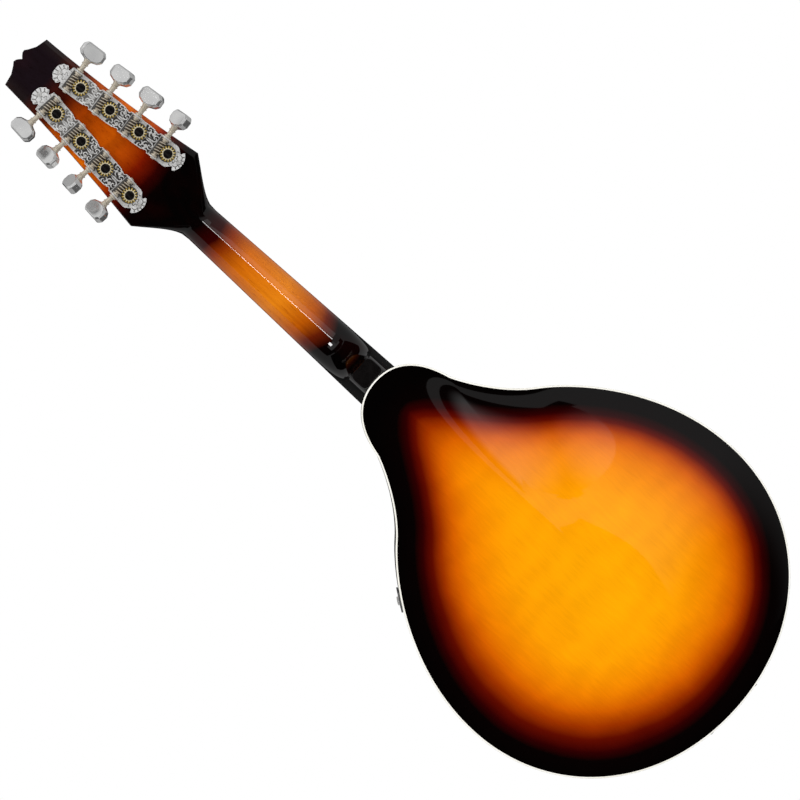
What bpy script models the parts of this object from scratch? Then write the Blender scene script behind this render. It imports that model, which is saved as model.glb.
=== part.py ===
"""An a-style mandolin with f-holes, an elevated pickguard and two four-on-a-plate sets of tuners.

It lies on its back with the soundboard up. +Y runs from the tail to the headstock, +X is the
treble side, and the origin is on the flat crown of the back, below the widest line of the body.
"""

import math

import bmesh
import bpy
import numpy as np
from mathutils import Matrix, Vector

MM = 0.001
GAP = 0.3 * MM              # between pieces that touch
SEAT = 0.5 * MM             # between a piece and the curved plate that it follows
PLAY = 0.2 * MM             # between a turning shaft and its hole
SHARP_ANGLE = math.radians(32)

# Body outline, from the widest line
BODY_WIDTH = 270.6 * MM
TAIL_LENGTH = 126.4 * MM
NECK_END = 216.7 * MM
SHOULDER_HALF = 73.2 * MM
SHOULDER_Y = 129.8 * MM
SHOULDER_SLANT = math.radians(50.9)
LOBE_HALF = 38.1 * MM
LOBE_Y = 178.9 * MM
LOBE_SLANT = math.radians(23.4)
TAIL_FULLNESS = 0.58        # handle lengths as a share of the width, depth or chord they round
HIP_FULLNESS = 0.562
BOUT_FULLNESS = (0.43, 0.21)
WAIST_FULLNESS = (0.36, 0.237)
LOBE_FULLNESS = (0.08, 0.60)

# Body shell
BACK_ARCH = 8.5 * MM
BACK_THICKNESS = 3.2 * MM
RIM_DEPTH = 44 * MM
RIM_THICKNESS = 2.3 * MM
TOP_THICKNESS = 4.0 * MM
TOP_ARCH = 6.0 * MM
CROWN_SHARE = 0.12          # radius of the flat crown over the radius of the plate
ARCH_POWER = 1.3
BINDING_WIDTH = 1.2 * MM
LINING_WIDTH = 5.0 * MM
LINING_HEIGHT = 7.0 * MM
NECK_BLOCK_Y = 163 * MM
TAIL_BLOCK_DEPTH = 18 * MM
TAIL_BLOCK_WIDTH = 60 * MM
TONE_BAR_WIDTH = 6 * MM
TONE_BAR_HEIGHT = 9 * MM
TONE_BAR_ENDS = ((16 * MM, 105 * MM), (32 * MM, -70 * MM))

# Sound holes
F_HOLE_SPINE = ((46 * MM, 66 * MM), (72 * MM, 98 * MM), (50 * MM, -34 * MM), (76 * MM, -2 * MM))
F_HOLE_WIDTH = 6.5 * MM
F_HOLE_NECK = 2.8 * MM
UPPER_LOBE_RADIUS = 4.8 * MM
LOWER_LOBE_RADIUS = 5.4 * MM

# Strings and neck
SCALE_LENGTH = 352 * MM
JOINT_FRET = 12
JOINT_INSET = 6.0 * MM       # from the body's end back to the joint fret
FRET_COUNT = 18
NECK_ANGLE = math.radians(2.2)
HEAD_ANGLE = math.radians(11.38)
FRETBOARD_RISE = 8.37 * MM
FRETBOARD_THICKNESS = 5.0 * MM
FRET_HEIGHT = 1.1 * MM
FRET_WIDTH = 2.2 * MM
NUT_WIDTH = 28.3 * MM
NUT_THICKNESS = 4.5 * MM
NUT_HEIGHT = 7.2 * MM
NECK_WIDTH_AT_BODY = 36.0 * MM
NECK_DEPTH_AT_NUT = 14.5 * MM
NECK_DEPTH_AT_HEEL = 16.5 * MM
HEEL_LENGTH = 14.0 * MM
HEEL_SWEEP = 30 * MM
HEEL_WIDTH = 20.0 * MM
HEEL_CAP_THICKNESS = 1.6 * MM
TENON_WIDTH = 16 * MM
TENON_LENGTH = 20 * MM
ROD_RADIUS = 2.5 * MM
ROD_START = 2 * MM           # past the body's end
ROD_END = 3 * MM             # past the nut's front
STRING_RADII = (0.14 * MM, 0.19 * MM, 0.33 * MM, 0.5 * MM)
ACTION_AT_NUT = 0.6 * MM
ACTION_AT_JOINT = 2.0 * MM
COURSE_SPREAD_AT_NUT = 22.5 * MM
COURSE_SPREAD_AT_BRIDGE = 39 * MM
PAIR_SPACING = 2.6 * MM

# Headstock, along its own plane from the nut
HEAD_THICKNESS = 14.5 * MM
VENEER_THICKNESS = 1.5 * MM
HEAD_BASE_Y = 35.6 * MM
HEAD_BASE_HALF = 35.2 * MM
HEAD_TIP_Y = 166.0 * MM
HEAD_WAIST = 1.9 * MM        # how far each long edge bows inwards
HEAD_TIP_HALF = 21.4 * MM
TIP_SCROLL = ((13.2 * MM, 1.7 * MM), (8.0 * MM, 4.6 * MM), (5.4 * MM, 6.5 * MM),
              (3.4 * MM, 6.1 * MM), (1.7 * MM, 4.9 * MM), (0.0 * MM, 3.3 * MM))

# Tuners
TUNER_SPACING = 25.3 * MM
TUNER_FIRST_Y = 51.8 * MM
TUNER_FIRST_HALF = 19.9 * MM
TUNER_LAST_HALF = 12.3 * MM
TUNER_PLATE_WIDTH = 17.5 * MM
TUNER_PLATE_THICKNESS = 1.2 * MM
EAR_LENGTH = 9 * MM
EAR_THICKNESS = 1.2 * MM
EAR_CREST = 3.0 * MM
AXIS_HEIGHT = 3.7 * MM
GEAR_TEETH = 15
GEAR_RADIUS = 5.03 * MM
GEAR_ADDENDUM = 0.57 * MM
GEAR_DEDENDUM = 0.75 * MM
GEAR_FACE = 2.4 * MM
GEAR_SCREW_RADIUS = 3.0 * MM
WORM_RADIUS = 2.15 * MM
WORM_ADDENDUM = 0.5 * MM
WORM_DEDENDUM = 0.75 * MM
WORM_TURNS = 5             # an odd number, so that a crest at the middle faces the gear
TOOTH_SHARE = 0.38          # thickness of a tooth or thread at the pitch line, over the pitch
POST_RADIUS = 3.0 * MM
POST_STAND = 13 * MM
STRING_HEIGHT_AT_POST = 5.5 * MM
SHAFT_RADIUS = 1.9 * MM
BUTTON_START = 18.4 * MM
BUTTON_LENGTH = 10.8 * MM
BUTTON_WIDTH = 19.4 * MM
BUTTON_THICKNESS = 7.4 * MM
BUTTON_ANGLES = {"treble": (45, 70, 45, 20), "bass": (-60, -30, -35, 0)}

# Bridge
BRIDGE_BASE_LENGTH = 116 * MM
BRIDGE_BASE_WIDTH = 11 * MM
BRIDGE_BASE_HEIGHT = 5.0 * MM
BRIDGE_POST_HALF = 35 * MM
BRIDGE_POST_RADIUS = 1.4 * MM
WHEEL_RADIUS = 5.5 * MM
WHEEL_THICKNESS = 1.8 * MM
WHEEL_LIFT = 1.3 * MM
SADDLE_LENGTH = 88 * MM
SADDLE_WIDTH = 6.5 * MM

# Tailpiece
TAIL_SLOPE = math.radians(5)
TAILPIECE_WIDTH = 48 * MM
TAILPIECE_LENGTH = 36 * MM
TAILPIECE_SHEET = 1.2 * MM
TAILPIECE_DROP = 38 * MM
HOOK_Y = 16 * MM
HOOK_HEIGHT = 3.0 * MM
COVER_LENGTH = 60 * MM
COVER_HEIGHT = 9 * MM
COVER_SHEET = 1.0 * MM

# Pickguard and its side bracket
PICKGUARD_THICKNESS = 2.0 * MM
PICKGUARD_HEIGHT = 11.5 * MM
PICKGUARD_SETBACK = 2.2 * MM
PICKGUARD_END = 10 * MM             # before the body's end
PICKGUARD_INNER = ((0.0 * MM, 22 * MM), (0.5 * MM, 130 * MM), (5 * MM, 90 * MM), (8 * MM, 60 * MM))
PICKGUARD_FOOT = ((11 * MM, 12 * MM), (60 * MM, 6 * MM))
PICKGUARD_OUTER = ((73 * MM, 66 * MM), (80 * MM, 84 * MM), (52 * MM, 98 * MM), (44 * MM, 130 * MM),
                   (38 * MM, 155 * MM), (34 * MM, 180 * MM))
PICKGUARD_BLOCK = (5 * MM, 14 * MM)
BRACKET_WIDTH = 14 * MM
BRACKET_ARM_WIDTH = 6 * MM
BRACKET_SHEET = 1.2 * MM
BRACKET_ARM = 42 * MM
BRACKET_DROP = 50 * MM
BRACKET_Y = 98 * MM

SIDES = {"treble": 1, "bass": -1}

# Heights that follow from the sizes above
BACK_EDGE_Z = BACK_ARCH
RIM_Z = BACK_EDGE_Z + BACK_THICKNESS + GAP
RIM_TOP_Z = RIM_Z + RIM_DEPTH
TOP_EDGE_Z = RIM_TOP_Z + GAP
TOP_FACE_Z = TOP_EDGE_Z + TOP_THICKNESS
NUT_Y = NECK_END - JOINT_INSET + SCALE_LENGTH * (1 - 2 ** (-JOINT_FRET / 12))
BRIDGE_Y = NUT_Y - SCALE_LENGTH
WORM_PITCH = 2 * math.pi * GEAR_RADIUS / GEAR_TEETH
WORM_OFFSET = GEAR_RADIUS + WORM_RADIUS
HEAD_PITCH = NECK_ANGLE + HEAD_ANGLE


def fretboard_z(y):
    """Height of the playing surface, which falls from the body to the nut."""
    return TOP_FACE_Z + FRETBOARD_RISE - (y - NECK_END) * math.tan(NECK_ANGLE)


def neck_top(y):
    return fretboard_z(y) - FRETBOARD_THICKNESS - GAP


def neck_half(y):
    share = (y - NECK_END) / (NUT_Y - NECK_END)
    return (NECK_WIDTH_AT_BODY + (NUT_WIDTH - NECK_WIDTH_AT_BODY) * share) / 2


def fret_y(number):
    return NUT_Y - SCALE_LENGTH * (1 - 2 ** (-number / 12))


def string_z(y):
    """Underside of the strings, on a line through the action at the nut and at the joint."""
    nut = fretboard_z(NUT_Y) + FRET_HEIGHT + ACTION_AT_NUT
    joint = fretboard_z(NECK_END) + FRET_HEIGHT + ACTION_AT_JOINT
    return nut + (joint - nut) * (NUT_Y - y) / (NUT_Y - NECK_END)


def bezier(p0, p1, p2, p3, count):
    """Points of a cubic Bezier curve, without its last one."""
    t = np.arange(count)[:, None] / count
    p0, p1, p2, p3 = (np.array(p, float) for p in (p0, p1, p2, p3))
    return (1 - t) ** 3 * p0 + 3 * t * (1 - t) ** 2 * p1 + 3 * t * t * (1 - t) * p2 + t**3 * p3


def body_half():
    """Treble half of the outline, from the tail to the neck, as four cubic curves."""
    half = BODY_WIDTH / 2
    tail, hip = np.array([0, -TAIL_LENGTH]), np.array([half, 0])
    shoulder = np.array([SHOULDER_HALF, SHOULDER_Y])
    lobe, end = np.array([LOBE_HALF, LOBE_Y]), np.array([0, NECK_END])
    shoulder_way = np.array([-math.sin(SHOULDER_SLANT), math.cos(SHOULDER_SLANT)])
    lobe_way = np.array([-math.sin(LOBE_SLANT), math.cos(LOBE_SLANT)])
    bout = np.linalg.norm(shoulder - hip)
    waist = np.linalg.norm(lobe - shoulder)
    round_end = np.linalg.norm(end - lobe)
    return np.vstack([
        bezier(tail, tail + [half * TAIL_FULLNESS, 0], hip - [0, TAIL_LENGTH * HIP_FULLNESS], hip, 10),
        bezier(hip, hip + [0, bout * BOUT_FULLNESS[0]],
               shoulder - shoulder_way * bout * BOUT_FULLNESS[1], shoulder, 7),
        bezier(shoulder, shoulder + shoulder_way * waist * WAIST_FULLNESS[0],
               lobe - lobe_way * waist * WAIST_FULLNESS[1], lobe, 5),
        bezier(lobe, lobe + lobe_way * round_end * LOBE_FULLNESS[0],
               end + [round_end * LOBE_FULLNESS[1], 0], end, 6),
        end[None],
    ])


def mirrored(half):
    """Closed outline, anticlockwise, from a half that starts and ends on the centre line."""
    return np.vstack([half, half[-2:0:-1] * [-1, 1]])


def inset(outline, distance):
    """The outline moved inwards along its normals."""
    way = np.roll(outline, -1, axis=0) - np.roll(outline, 1, axis=0)
    way /= np.linalg.norm(way, axis=1)[:, None]
    return outline + distance * np.stack([-way[:, 1], way[:, 0]], axis=1)


BODY = mirrored(body_half())
PLATE = inset(BODY, BINDING_WIDTH + GAP)


def arch(x, y):
    """Share of the full arch at a point of a plate: 1 on the crown, 0 at the edge."""
    angles = np.arctan2(PLATE[:, 1], PLATE[:, 0])
    order = np.argsort(angles)
    radii = np.linalg.norm(PLATE, axis=1)[order]
    radius = np.interp(math.atan2(y, x), angles[order], radii, period=2 * math.pi)
    return arch_share(math.hypot(x, y) / radius)


def arch_share(share):
    inner = max(0.0, (min(share, 1.0) - CROWN_SHARE) / (1 - CROWN_SHARE))
    return 0.5 + 0.5 * math.cos(math.pi * inner**ARCH_POWER)


def top_z(x, y):
    return TOP_FACE_Z + TOP_ARCH * arch(x, y)


def at(outline, z):
    """An outline as points at one height."""
    return [(x, y, z) for x, y in outline]


def lofted(rings):
    """Closed body through rings of equal length, with a flat face on each end."""
    count = len(rings[0])
    points = [p for ring in rings for p in ring]
    faces = [tuple(range(count))[::-1], tuple(range(len(points) - count, len(points)))]
    for start in range(0, len(points) - count, count):
        for i in range(count):
            j = (i + 1) % count
            faces.append((start + i, start + j, start + count + j, start + count + i))
    return points, faces


def prism(outline, low, high):
    return lofted([at(outline, low), at(outline, high)])


def ringed(sections):
    """Closed loop of cross-sections, each joined to the next and the last to the first."""
    count, total = len(sections[0]), len(sections)
    faces = []
    for k in range(total):
        for i in range(count):
            a, b = k * count + i, k * count + (i + 1) % count
            c, d = ((k + 1) % total) * count + (i + 1) % count, ((k + 1) % total) * count + i
            faces.append((a, b, c, d))
    return [p for section in sections for p in section], faces


def circle(radius, sides, phase=0.0):
    turns = 2 * math.pi * (np.arange(sides) + phase) / sides
    return np.stack([np.cos(turns), np.sin(turns)], axis=1) * radius


def turned(profile, sides):
    """Body turned about the local Z axis from (radius, height) pairs."""
    return lofted([at(circle(radius, sides), z) for radius, z in profile])


def box(low, high):
    corners = [(low[0], low[1]), (high[0], low[1]), (high[0], high[1]), (low[0], high[1])]
    return prism(np.array(corners), low[2], high[2])


def side_prism(profile, low, high):
    """Body with a (y, z) profile, extruded from one x to another."""
    return lofted([[(x, y, z) for y, z in profile] for x in (low, high)])


def placed(shape, matrix):
    points, faces = shape
    return [tuple(matrix @ Vector(p)) for p in points], faces


def mesh_of(name, shape):
    mesh = bpy.data.meshes.new(name)
    mesh.from_pydata([tuple(map(float, p)) for p in shape[0]], [], shape[1])
    work = bmesh.new()
    work.from_mesh(mesh)
    bmesh.ops.recalc_face_normals(work, faces=work.faces)
    work.to_mesh(mesh)
    work.free()
    return mesh


def finish_of(name, colour, roughness, metallic=0.0):
    material = bpy.data.materials.new(name)
    material.use_nodes = True
    shader = material.node_tree.nodes["Principled BSDF"]
    shader.inputs["Base Color"].default_value = (*colour, 1)
    shader.inputs["Roughness"].default_value = roughness
    shader.inputs["Metallic"].default_value = metallic
    return material


FINISHES = {
    "spruce": ((0.62, 0.22, 0.03), 0.2, 0.0),
    "maple": ((0.80, 0.28, 0.01), 0.15, 0.0),
    "black_lacquer": ((0.012, 0.010, 0.010), 0.15, 0.0),
    "raw_wood": ((0.65, 0.45, 0.26), 0.7, 0.0),
    "binding": ((0.85, 0.84, 0.80), 0.3, 0.0),
    "rosewood": ((0.07, 0.03, 0.02), 0.5, 0.0),
    "bone": ((0.85, 0.82, 0.72), 0.4, 0.0),
    "plastic": ((0.01, 0.01, 0.01), 0.15, 0.0),
    "steel": ((0.55, 0.56, 0.58), 0.3, 1.0),
    "chrome": ((0.80, 0.81, 0.83), 0.12, 1.0),
    "nickel": ((0.66, 0.66, 0.65), 0.25, 1.0),
    "brass": ((0.72, 0.56, 0.25), 0.3, 1.0),
}


def add(name, mesh, finish, parent=None, location=(0, 0, 0), rotation=(0, 0, 0)):
    """One named sub-part, with its own material, under its parent empty."""
    piece = bpy.data.objects.new(name, mesh)
    bpy.context.scene.collection.objects.link(piece)
    if not mesh.materials:
        mesh.materials.append(None)
    piece.material_slots[0].link = "OBJECT"
    piece.material_slots[0].material = finish_of(name + "_finish", *FINISHES[finish])
    piece.parent = parent
    piece.location = location
    piece.rotation_euler = rotation
    return piece


def add_shape(name, shape, finish, parent=None, location=(0, 0, 0), rotation=(0, 0, 0)):
    return add(name, mesh_of(name, shape), finish, parent, location, rotation)


def add_frame(name, matrix):
    frame = bpy.data.objects.new(name, None)
    bpy.context.scene.collection.objects.link(frame)
    frame.empty_display_size = 10 * MM
    frame.matrix_world = matrix
    return frame


def cut(piece, shape, operation="DIFFERENCE"):
    """Applies a Boolean of the piece with a helper body given in the piece's own space."""
    helper = bpy.data.objects.new("helper", mesh_of("helper", shape))
    bpy.context.scene.collection.objects.link(helper)
    helper.hide_render = True
    helper.display_type = "WIRE"
    bpy.context.view_layer.update()
    helper.matrix_world = piece.matrix_world
    modifier = piece.modifiers.new("shape", "BOOLEAN")
    modifier.operation = operation
    modifier.solver = "EXACT"
    modifier.object = helper
    graph = bpy.context.evaluated_depsgraph_get()
    made = bpy.data.meshes.new_from_object(piece.evaluated_get(graph))
    made.name = piece.data.name
    piece.modifiers.clear()
    piece.data = made
    bpy.data.objects.remove(helper)
    return piece


def clear_scene():
    for old in list(bpy.data.objects):
        bpy.data.objects.remove(old)


# Body

PLATE_RINGS = (1.0, 0.90, 0.74, 0.55, 0.33, CROWN_SHARE)


def arched_plate(edge_z, height, thickness):
    """Plate whose rings are the outline scaled towards the middle; its crown is flat."""
    outer = [at(PLATE * s, edge_z + height * arch_share(s)) for s in PLATE_RINGS]
    inner = [at(PLATE * s, edge_z + height * arch_share(s) + thickness) for s in PLATE_RINGS]
    return lofted(inner[::-1] + outer)


def loop_band(outer, inner, low, high):
    """Closed hoop with a rectangular section between two outlines."""
    return ringed([[(*a, low), (*a, high), (*b, high), (*b, low)] for a, b in zip(outer, inner)])


def open_band(outer, inner, low, high):
    """Strip with a rectangular section between two open lines."""
    return lofted([[(*a, low), (*a, high), (*b, high), (*b, low)] for a, b in zip(outer, inner)])


def f_hole_outline(side):
    """Slot along a curved spine, narrow at its ends, with a nick on each side at the middle."""
    count = 12
    spine = np.vstack([bezier(*F_HOLE_SPINE, count), np.array(F_HOLE_SPINE[3])[None]])
    way = np.gradient(spine, axis=0)
    way /= np.linalg.norm(way, axis=1)[:, None]
    across = np.stack([-way[:, 1], way[:, 0]], axis=1)
    share = np.sin(np.pi * np.arange(count + 1) / count)
    half = (F_HOLE_NECK + (F_HOLE_WIDTH - F_HOLE_NECK) * share**0.7) / 2
    half[count // 2] += 1.2 * MM
    outline = np.vstack([spine + across * half[:, None], (spine - across * half[:, None])[::-1]])
    return outline * [side, 1]


def tone_bar(side):
    """Bar under the soundboard, its top following the arch."""
    sections = []
    for share in np.linspace(0, 1, 9):
        x, y = np.array(TONE_BAR_ENDS[0]) * (1 - share) + np.array(TONE_BAR_ENDS[1]) * share
        x *= side
        high = top_z(x, y) - TOP_THICKNESS - SEAT
        low = high - TONE_BAR_HEIGHT * min(1.0, 0.35 + 2.6 * min(share, 1 - share))
        half = TONE_BAR_WIDTH / 2
        sections.append([(x - half, y, low), (x + half, y, low), (x + half, y, high),
                         (x - half, y, high)])
    return lofted(sections)


def tenon(clearance):
    half = TENON_WIDTH / 2 + clearance
    low = RIM_Z + 2 * MM - clearance
    return box((-half, NECK_END - TENON_LENGTH - clearance, low),
               (half, NECK_END + 2 * MM, RIM_TOP_Z + clearance))


def build_body():
    back = arched_plate(BACK_EDGE_Z, -BACK_ARCH, BACK_THICKNESS)
    add_shape("back_plate", back, "maple")
    soundboard = add_shape("soundboard", arched_plate(TOP_EDGE_Z, TOP_ARCH, TOP_THICKNESS), "spruce")
    low, high = TOP_EDGE_Z - 2 * MM, TOP_FACE_Z + TOP_ARCH + 2 * MM
    for side in SIDES.values():
        cut(soundboard, prism(f_hole_outline(side), low, high))
        for end, radius in ((0, UPPER_LOBE_RADIUS), (3, LOWER_LOBE_RADIUS)):
            centre = np.array(F_HOLE_SPINE[end]) * [side, 1]
            cut(soundboard, prism(circle(radius, 16, 0.5) + centre, low, high))
    inner_edge = inset(BODY, BINDING_WIDTH)
    back_strip = loop_band(BODY, inner_edge, BACK_EDGE_Z, BACK_EDGE_Z + BACK_THICKNESS)
    add_shape("back_binding", back_strip, "binding")
    add_shape("top_binding", loop_band(BODY, inner_edge, TOP_EDGE_Z, TOP_FACE_Z), "binding")
    rim = add_shape("rim", loop_band(BODY, inset(BODY, RIM_THICKNESS), RIM_Z, RIM_TOP_Z), "maple")
    cut(rim, tenon(GAP))
    build_inner_pieces()


def build_inner_pieces():
    """Blocks and linings glued inside the rim, and the two bars under the soundboard."""
    inside = inset(BODY, RIM_THICKNESS + GAP)
    lining = inset(BODY, RIM_THICKNESS + GAP + LINING_WIDTH)
    steps = range(len(inside) // 2 + 1)
    neck_side = [p for p in inside if p[1] > NECK_BLOCK_Y]
    block = np.array([(neck_side[0][0], NECK_BLOCK_Y), *neck_side, (neck_side[-1][0], NECK_BLOCK_Y)])
    neck_block = add_shape("neck_block", prism(block, RIM_Z, RIM_TOP_Z), "raw_wood")
    cut(neck_block, tenon(GAP))
    half = TAIL_BLOCK_WIDTH / 2
    ends = [p for p in inside if p[1] < 0 and abs(p[0]) < half - 1 * MM]
    ends.sort(key=lambda p: p[0])
    tail_y = -TAIL_LENGTH + RIM_THICKNESS + TAIL_BLOCK_DEPTH
    corner = float(np.interp(half, inside[:8, 0], inside[:8, 1]))
    tail = np.array([(-half, corner), *ends, (half, corner), (half, tail_y), (-half, tail_y)])
    add_shape("tail_block", prism(tail, RIM_Z, RIM_TOP_Z), "raw_wood")
    chosen = [i for i in steps if inside[i][1] < NECK_BLOCK_Y - GAP
              and (inside[i][1] > 0 or abs(inside[i][0]) > half + LINING_WIDTH)]
    low, high = RIM_Z + LINING_HEIGHT, RIM_TOP_Z - LINING_HEIGHT
    for name, side in SIDES.items():
        outer = [inside[i] * [side, 1] for i in chosen]
        inner = [lining[i] * [side, 1] for i in chosen]
        add_shape(f"back_lining_{name}", open_band(outer, inner, RIM_Z, low), "raw_wood")
        add_shape(f"top_lining_{name}", open_band(outer, inner, high, RIM_TOP_Z), "raw_wood")
        add_shape(f"tone_bar_{name}", tone_bar(side), "raw_wood")


# Neck

HEAD_FRAME = Matrix.Translation((0, NUT_Y, neck_top(NUT_Y))) @ Matrix.Rotation(-HEAD_PITCH, 4, "X")
NUT_END = NUT_THICKNESS + GAP


def head_outline(start_y):
    """Snakehead outline in the headstock's plane: a concave sweep, a straight taper, a scrolled tip."""
    half_nut = NUT_WIDTH / 2
    sweep = bezier((half_nut, 0), (half_nut + 0.6 * MM, HEAD_BASE_Y * 0.34),
                   (HEAD_BASE_HALF * 0.69, HEAD_BASE_Y * 0.58), (HEAD_BASE_HALF, HEAD_BASE_Y), 8)
    tip = [(x, HEAD_TIP_Y + rise) for x, rise in TIP_SCROLL]
    half = [p for p in sweep if p[1] > start_y]
    half = [(float(np.interp(start_y, sweep[:, 1], sweep[:, 0])), start_y), *half]
    half.append((HEAD_BASE_HALF, HEAD_BASE_Y))
    for share in (0.25, 0.5, 0.75, 1.0):
        bow = 4 * HEAD_WAIST * share * (1 - share)
        half.append((HEAD_BASE_HALF + (HEAD_TIP_HALF - HEAD_BASE_HALF) * share - bow,
                     HEAD_BASE_Y + (HEAD_TIP_Y - HEAD_BASE_Y) * share))
    half += tip
    half = np.array([tuple(map(float, p)) for p in half])
    return np.vstack([half, half[-2::-1] * [-1, 1]])


def neck_section(y, top, depth, half, foot, power, count=13):
    """Cross-section: flat on top, and below it a superellipse whose width tapers to the foot's."""
    points = []
    for turn in np.linspace(0, math.pi, count):
        drop = abs(math.sin(turn)) ** (2 / power)
        width = half + (foot - half) * drop
        reach = abs(math.cos(turn)) ** (2 / power) * (1 if math.cos(turn) > 0 else -1)
        points.append((width * reach if 0 < turn < math.pi else half * reach, y, top - depth * drop))
    return points


def heel_bottom():
    return BACK_EDGE_Z + HEEL_CAP_THICKNESS + GAP


def neck_loft():
    """Heel, shaft and volute, from inside the body's outline to under the headstock."""
    sections = []
    tip_y = NUT_Y + 26 * MM
    straight = [NECK_END - 4 * MM, NECK_END + HEEL_LENGTH]
    sweep = [NECK_END + HEEL_LENGTH + HEEL_SWEEP * s for s in (0.02, 0.08, 0.2, 0.38, 0.62, 1.0)]
    shaft = [sweep[-1] + (NUT_Y - sweep[-1]) * s for s in (0.36, 0.72, 1.0)]
    for y in straight + sweep + shaft:
        share = min(1.0, max(0.0, (y - NECK_END - HEEL_LENGTH) / HEEL_SWEEP))
        deep = 1 - math.sqrt(1 - (1 - share) ** 2)
        along = (y - NECK_END) / (NUT_Y - NECK_END)
        shaft_depth = NECK_DEPTH_AT_HEEL + (NECK_DEPTH_AT_NUT - NECK_DEPTH_AT_HEEL) * along
        depth = shaft_depth + (neck_top(y) - heel_bottom() - shaft_depth) * deep
        half = neck_half(y)
        foot = half + (HEEL_WIDTH * 0.56 - half) * deep
        sections.append(neck_section(y, neck_top(y), depth, half, foot, 2.2 + 3.3 * deep))
    for y, rise in ((NUT_Y + NUT_END, 0.0), (NUT_Y + NUT_END + 0.4 * MM, 1.0), (tip_y, 1.0)):
        face = neck_top(NUT_Y) - (y - NUT_Y) * math.tan(HEAD_PITCH)
        top = neck_top(y) + (face - VENEER_THICKNESS - 3 * GAP - neck_top(y)) * rise
        share = (y - NUT_Y) / (tip_y - NUT_Y)
        bottom = neck_top(NUT_Y) - NECK_DEPTH_AT_NUT - (y - NUT_Y) * 0.11
        bottom += share**2 * 2.2 * MM
        half = NUT_WIDTH / 2 - 1.5 * MM * share
        sections.append(neck_section(y, top, top - bottom, half, half, 2.2))
    return lofted(sections)


def tongue():
    """Neck's tongue between the soundboard and the fretboard's extension."""
    end = fret_y(FRET_COUNT) - 3 * MM
    low = [(y, top_z(0, y) + SEAT) for y in np.linspace(end, NECK_END + 4 * MM, 6)]
    profile = low + [(NECK_END + 4 * MM, neck_top(NECK_END + 4 * MM)), (end, neck_top(end))]
    half = NECK_WIDTH_AT_BODY / 2 - 1 * MM
    return side_prism(profile, -half, half)


def rod_channel(clearance):
    """Square channel under the fretboard that the truss rod lies in."""
    start, end = NECK_END + ROD_START - clearance, NUT_Y + ROD_END + clearance
    half = ROD_RADIUS + clearance
    depth = 2 * half
    return side_prism([(start, neck_top(start) - depth - 2 * MM), (end, neck_top(end) - depth - 2 * MM),
                       (end, neck_top(end) + 6 * MM), (start, neck_top(start) + 6 * MM)], -half, half)


def build_neck():
    neck = add_shape("neck", neck_loft(), "maple")
    head = prism(head_outline(NUT_END + 0.2 * MM), -HEAD_THICKNESS, -VENEER_THICKNESS - GAP)
    cut(neck, placed(head, HEAD_FRAME), "UNION")
    cut(neck, prism(inset(BODY, -GAP), -5 * MM, 90 * MM))
    cut(neck, tenon(0), "UNION")
    cut(neck, tongue(), "UNION")
    cut(neck, rod_channel(GAP))
    for side in SIDES:
        for number in range(4):
            hole = prism(circle(POST_RADIUS + PLAY, 12, 0.5), -30 * MM, 30 * MM)
            cut(neck, placed(hole, tuner_matrix(side, number)))
    rod = lofted([[(x, y, z + neck_top(y) - ROD_RADIUS - 2 * MM) for x, z in circle(ROD_RADIUS, 10)]
                  for y in (NECK_END + ROD_START, NUT_Y + ROD_END)])
    add_shape("truss_rod", rod, "steel")
    cap_half = HEEL_WIDTH / 2
    low_y = NECK_END + GAP + 0.4 * MM
    cap = np.array([(-cap_half, low_y), (cap_half, low_y), (cap_half * 0.93, low_y + HEEL_LENGTH * 0.72),
                    (cap_half * 0.68, low_y + HEEL_LENGTH), (-cap_half * 0.68, low_y + HEEL_LENGTH),
                    (-cap_half * 0.93, low_y + HEEL_LENGTH * 0.72)])
    add_shape("heel_cap", prism(cap, BACK_EDGE_Z, BACK_EDGE_Z + HEEL_CAP_THICKNESS), "plastic")
    build_fretboard()
    build_head_trim()


def build_fretboard():
    end = fret_y(FRET_COUNT) - 5 * MM
    start = NUT_Y - GAP
    profile = [(start, fretboard_z(start) - FRETBOARD_THICKNESS), (start, fretboard_z(start))]
    for number in range(1, FRET_COUNT + 1):
        y = fret_y(number)
        for step, rise in ((0.5, 0), (0.28, 1), (-0.28, 1), (-0.5, 0)):
            place = y + FRET_WIDTH * step
            profile.append((place, fretboard_z(place) + FRET_HEIGHT * rise))
    profile += [(end, fretboard_z(end)), (end, fretboard_z(end) - FRETBOARD_THICKNESS)]
    board = lofted([[(side * neck_half(y), y, z) for y, z in profile] for side in (-1, 1)])
    add_shape("fretboard", board, "rosewood")


def string_xs(spread):
    """Places of the eight strings across the neck, bass to treble, in four pairs."""
    outer = spread / 2 - PAIR_SPACING / 2
    return [outer * (2 * course / 3 - 1) + PAIR_SPACING * half
            for course in range(4) for half in (-0.5, 0.5)]


def string_radius(number):
    return STRING_RADII[3 - number // 2]


def slotted_bar(half_length, base, top, spread, height_at_string):
    """(x, z) outline of a nut or saddle with a slot under each string."""
    points = [(-half_length, base), (half_length, base), (half_length, top - 1 * MM),
              (half_length - 1 * MM, top)]
    for number in reversed(range(8)):
        x = string_xs(spread)[number]
        half = string_radius(number) + PLAY
        floor = height_at_string - GAP
        points += [(x + half + 0.15 * MM, top), (x + half, floor), (x - half, floor),
                   (x - half - 0.15 * MM, top)]
    points += [(-half_length + 1 * MM, top), (-half_length, top - 1 * MM)]
    return np.array(points)


def across_prism(outline, low, high):
    """Body with an (x, z) outline, extruded from one y to another."""
    return lofted([[(x, y, z) for x, z in outline] for y in (low, high)])


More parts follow.
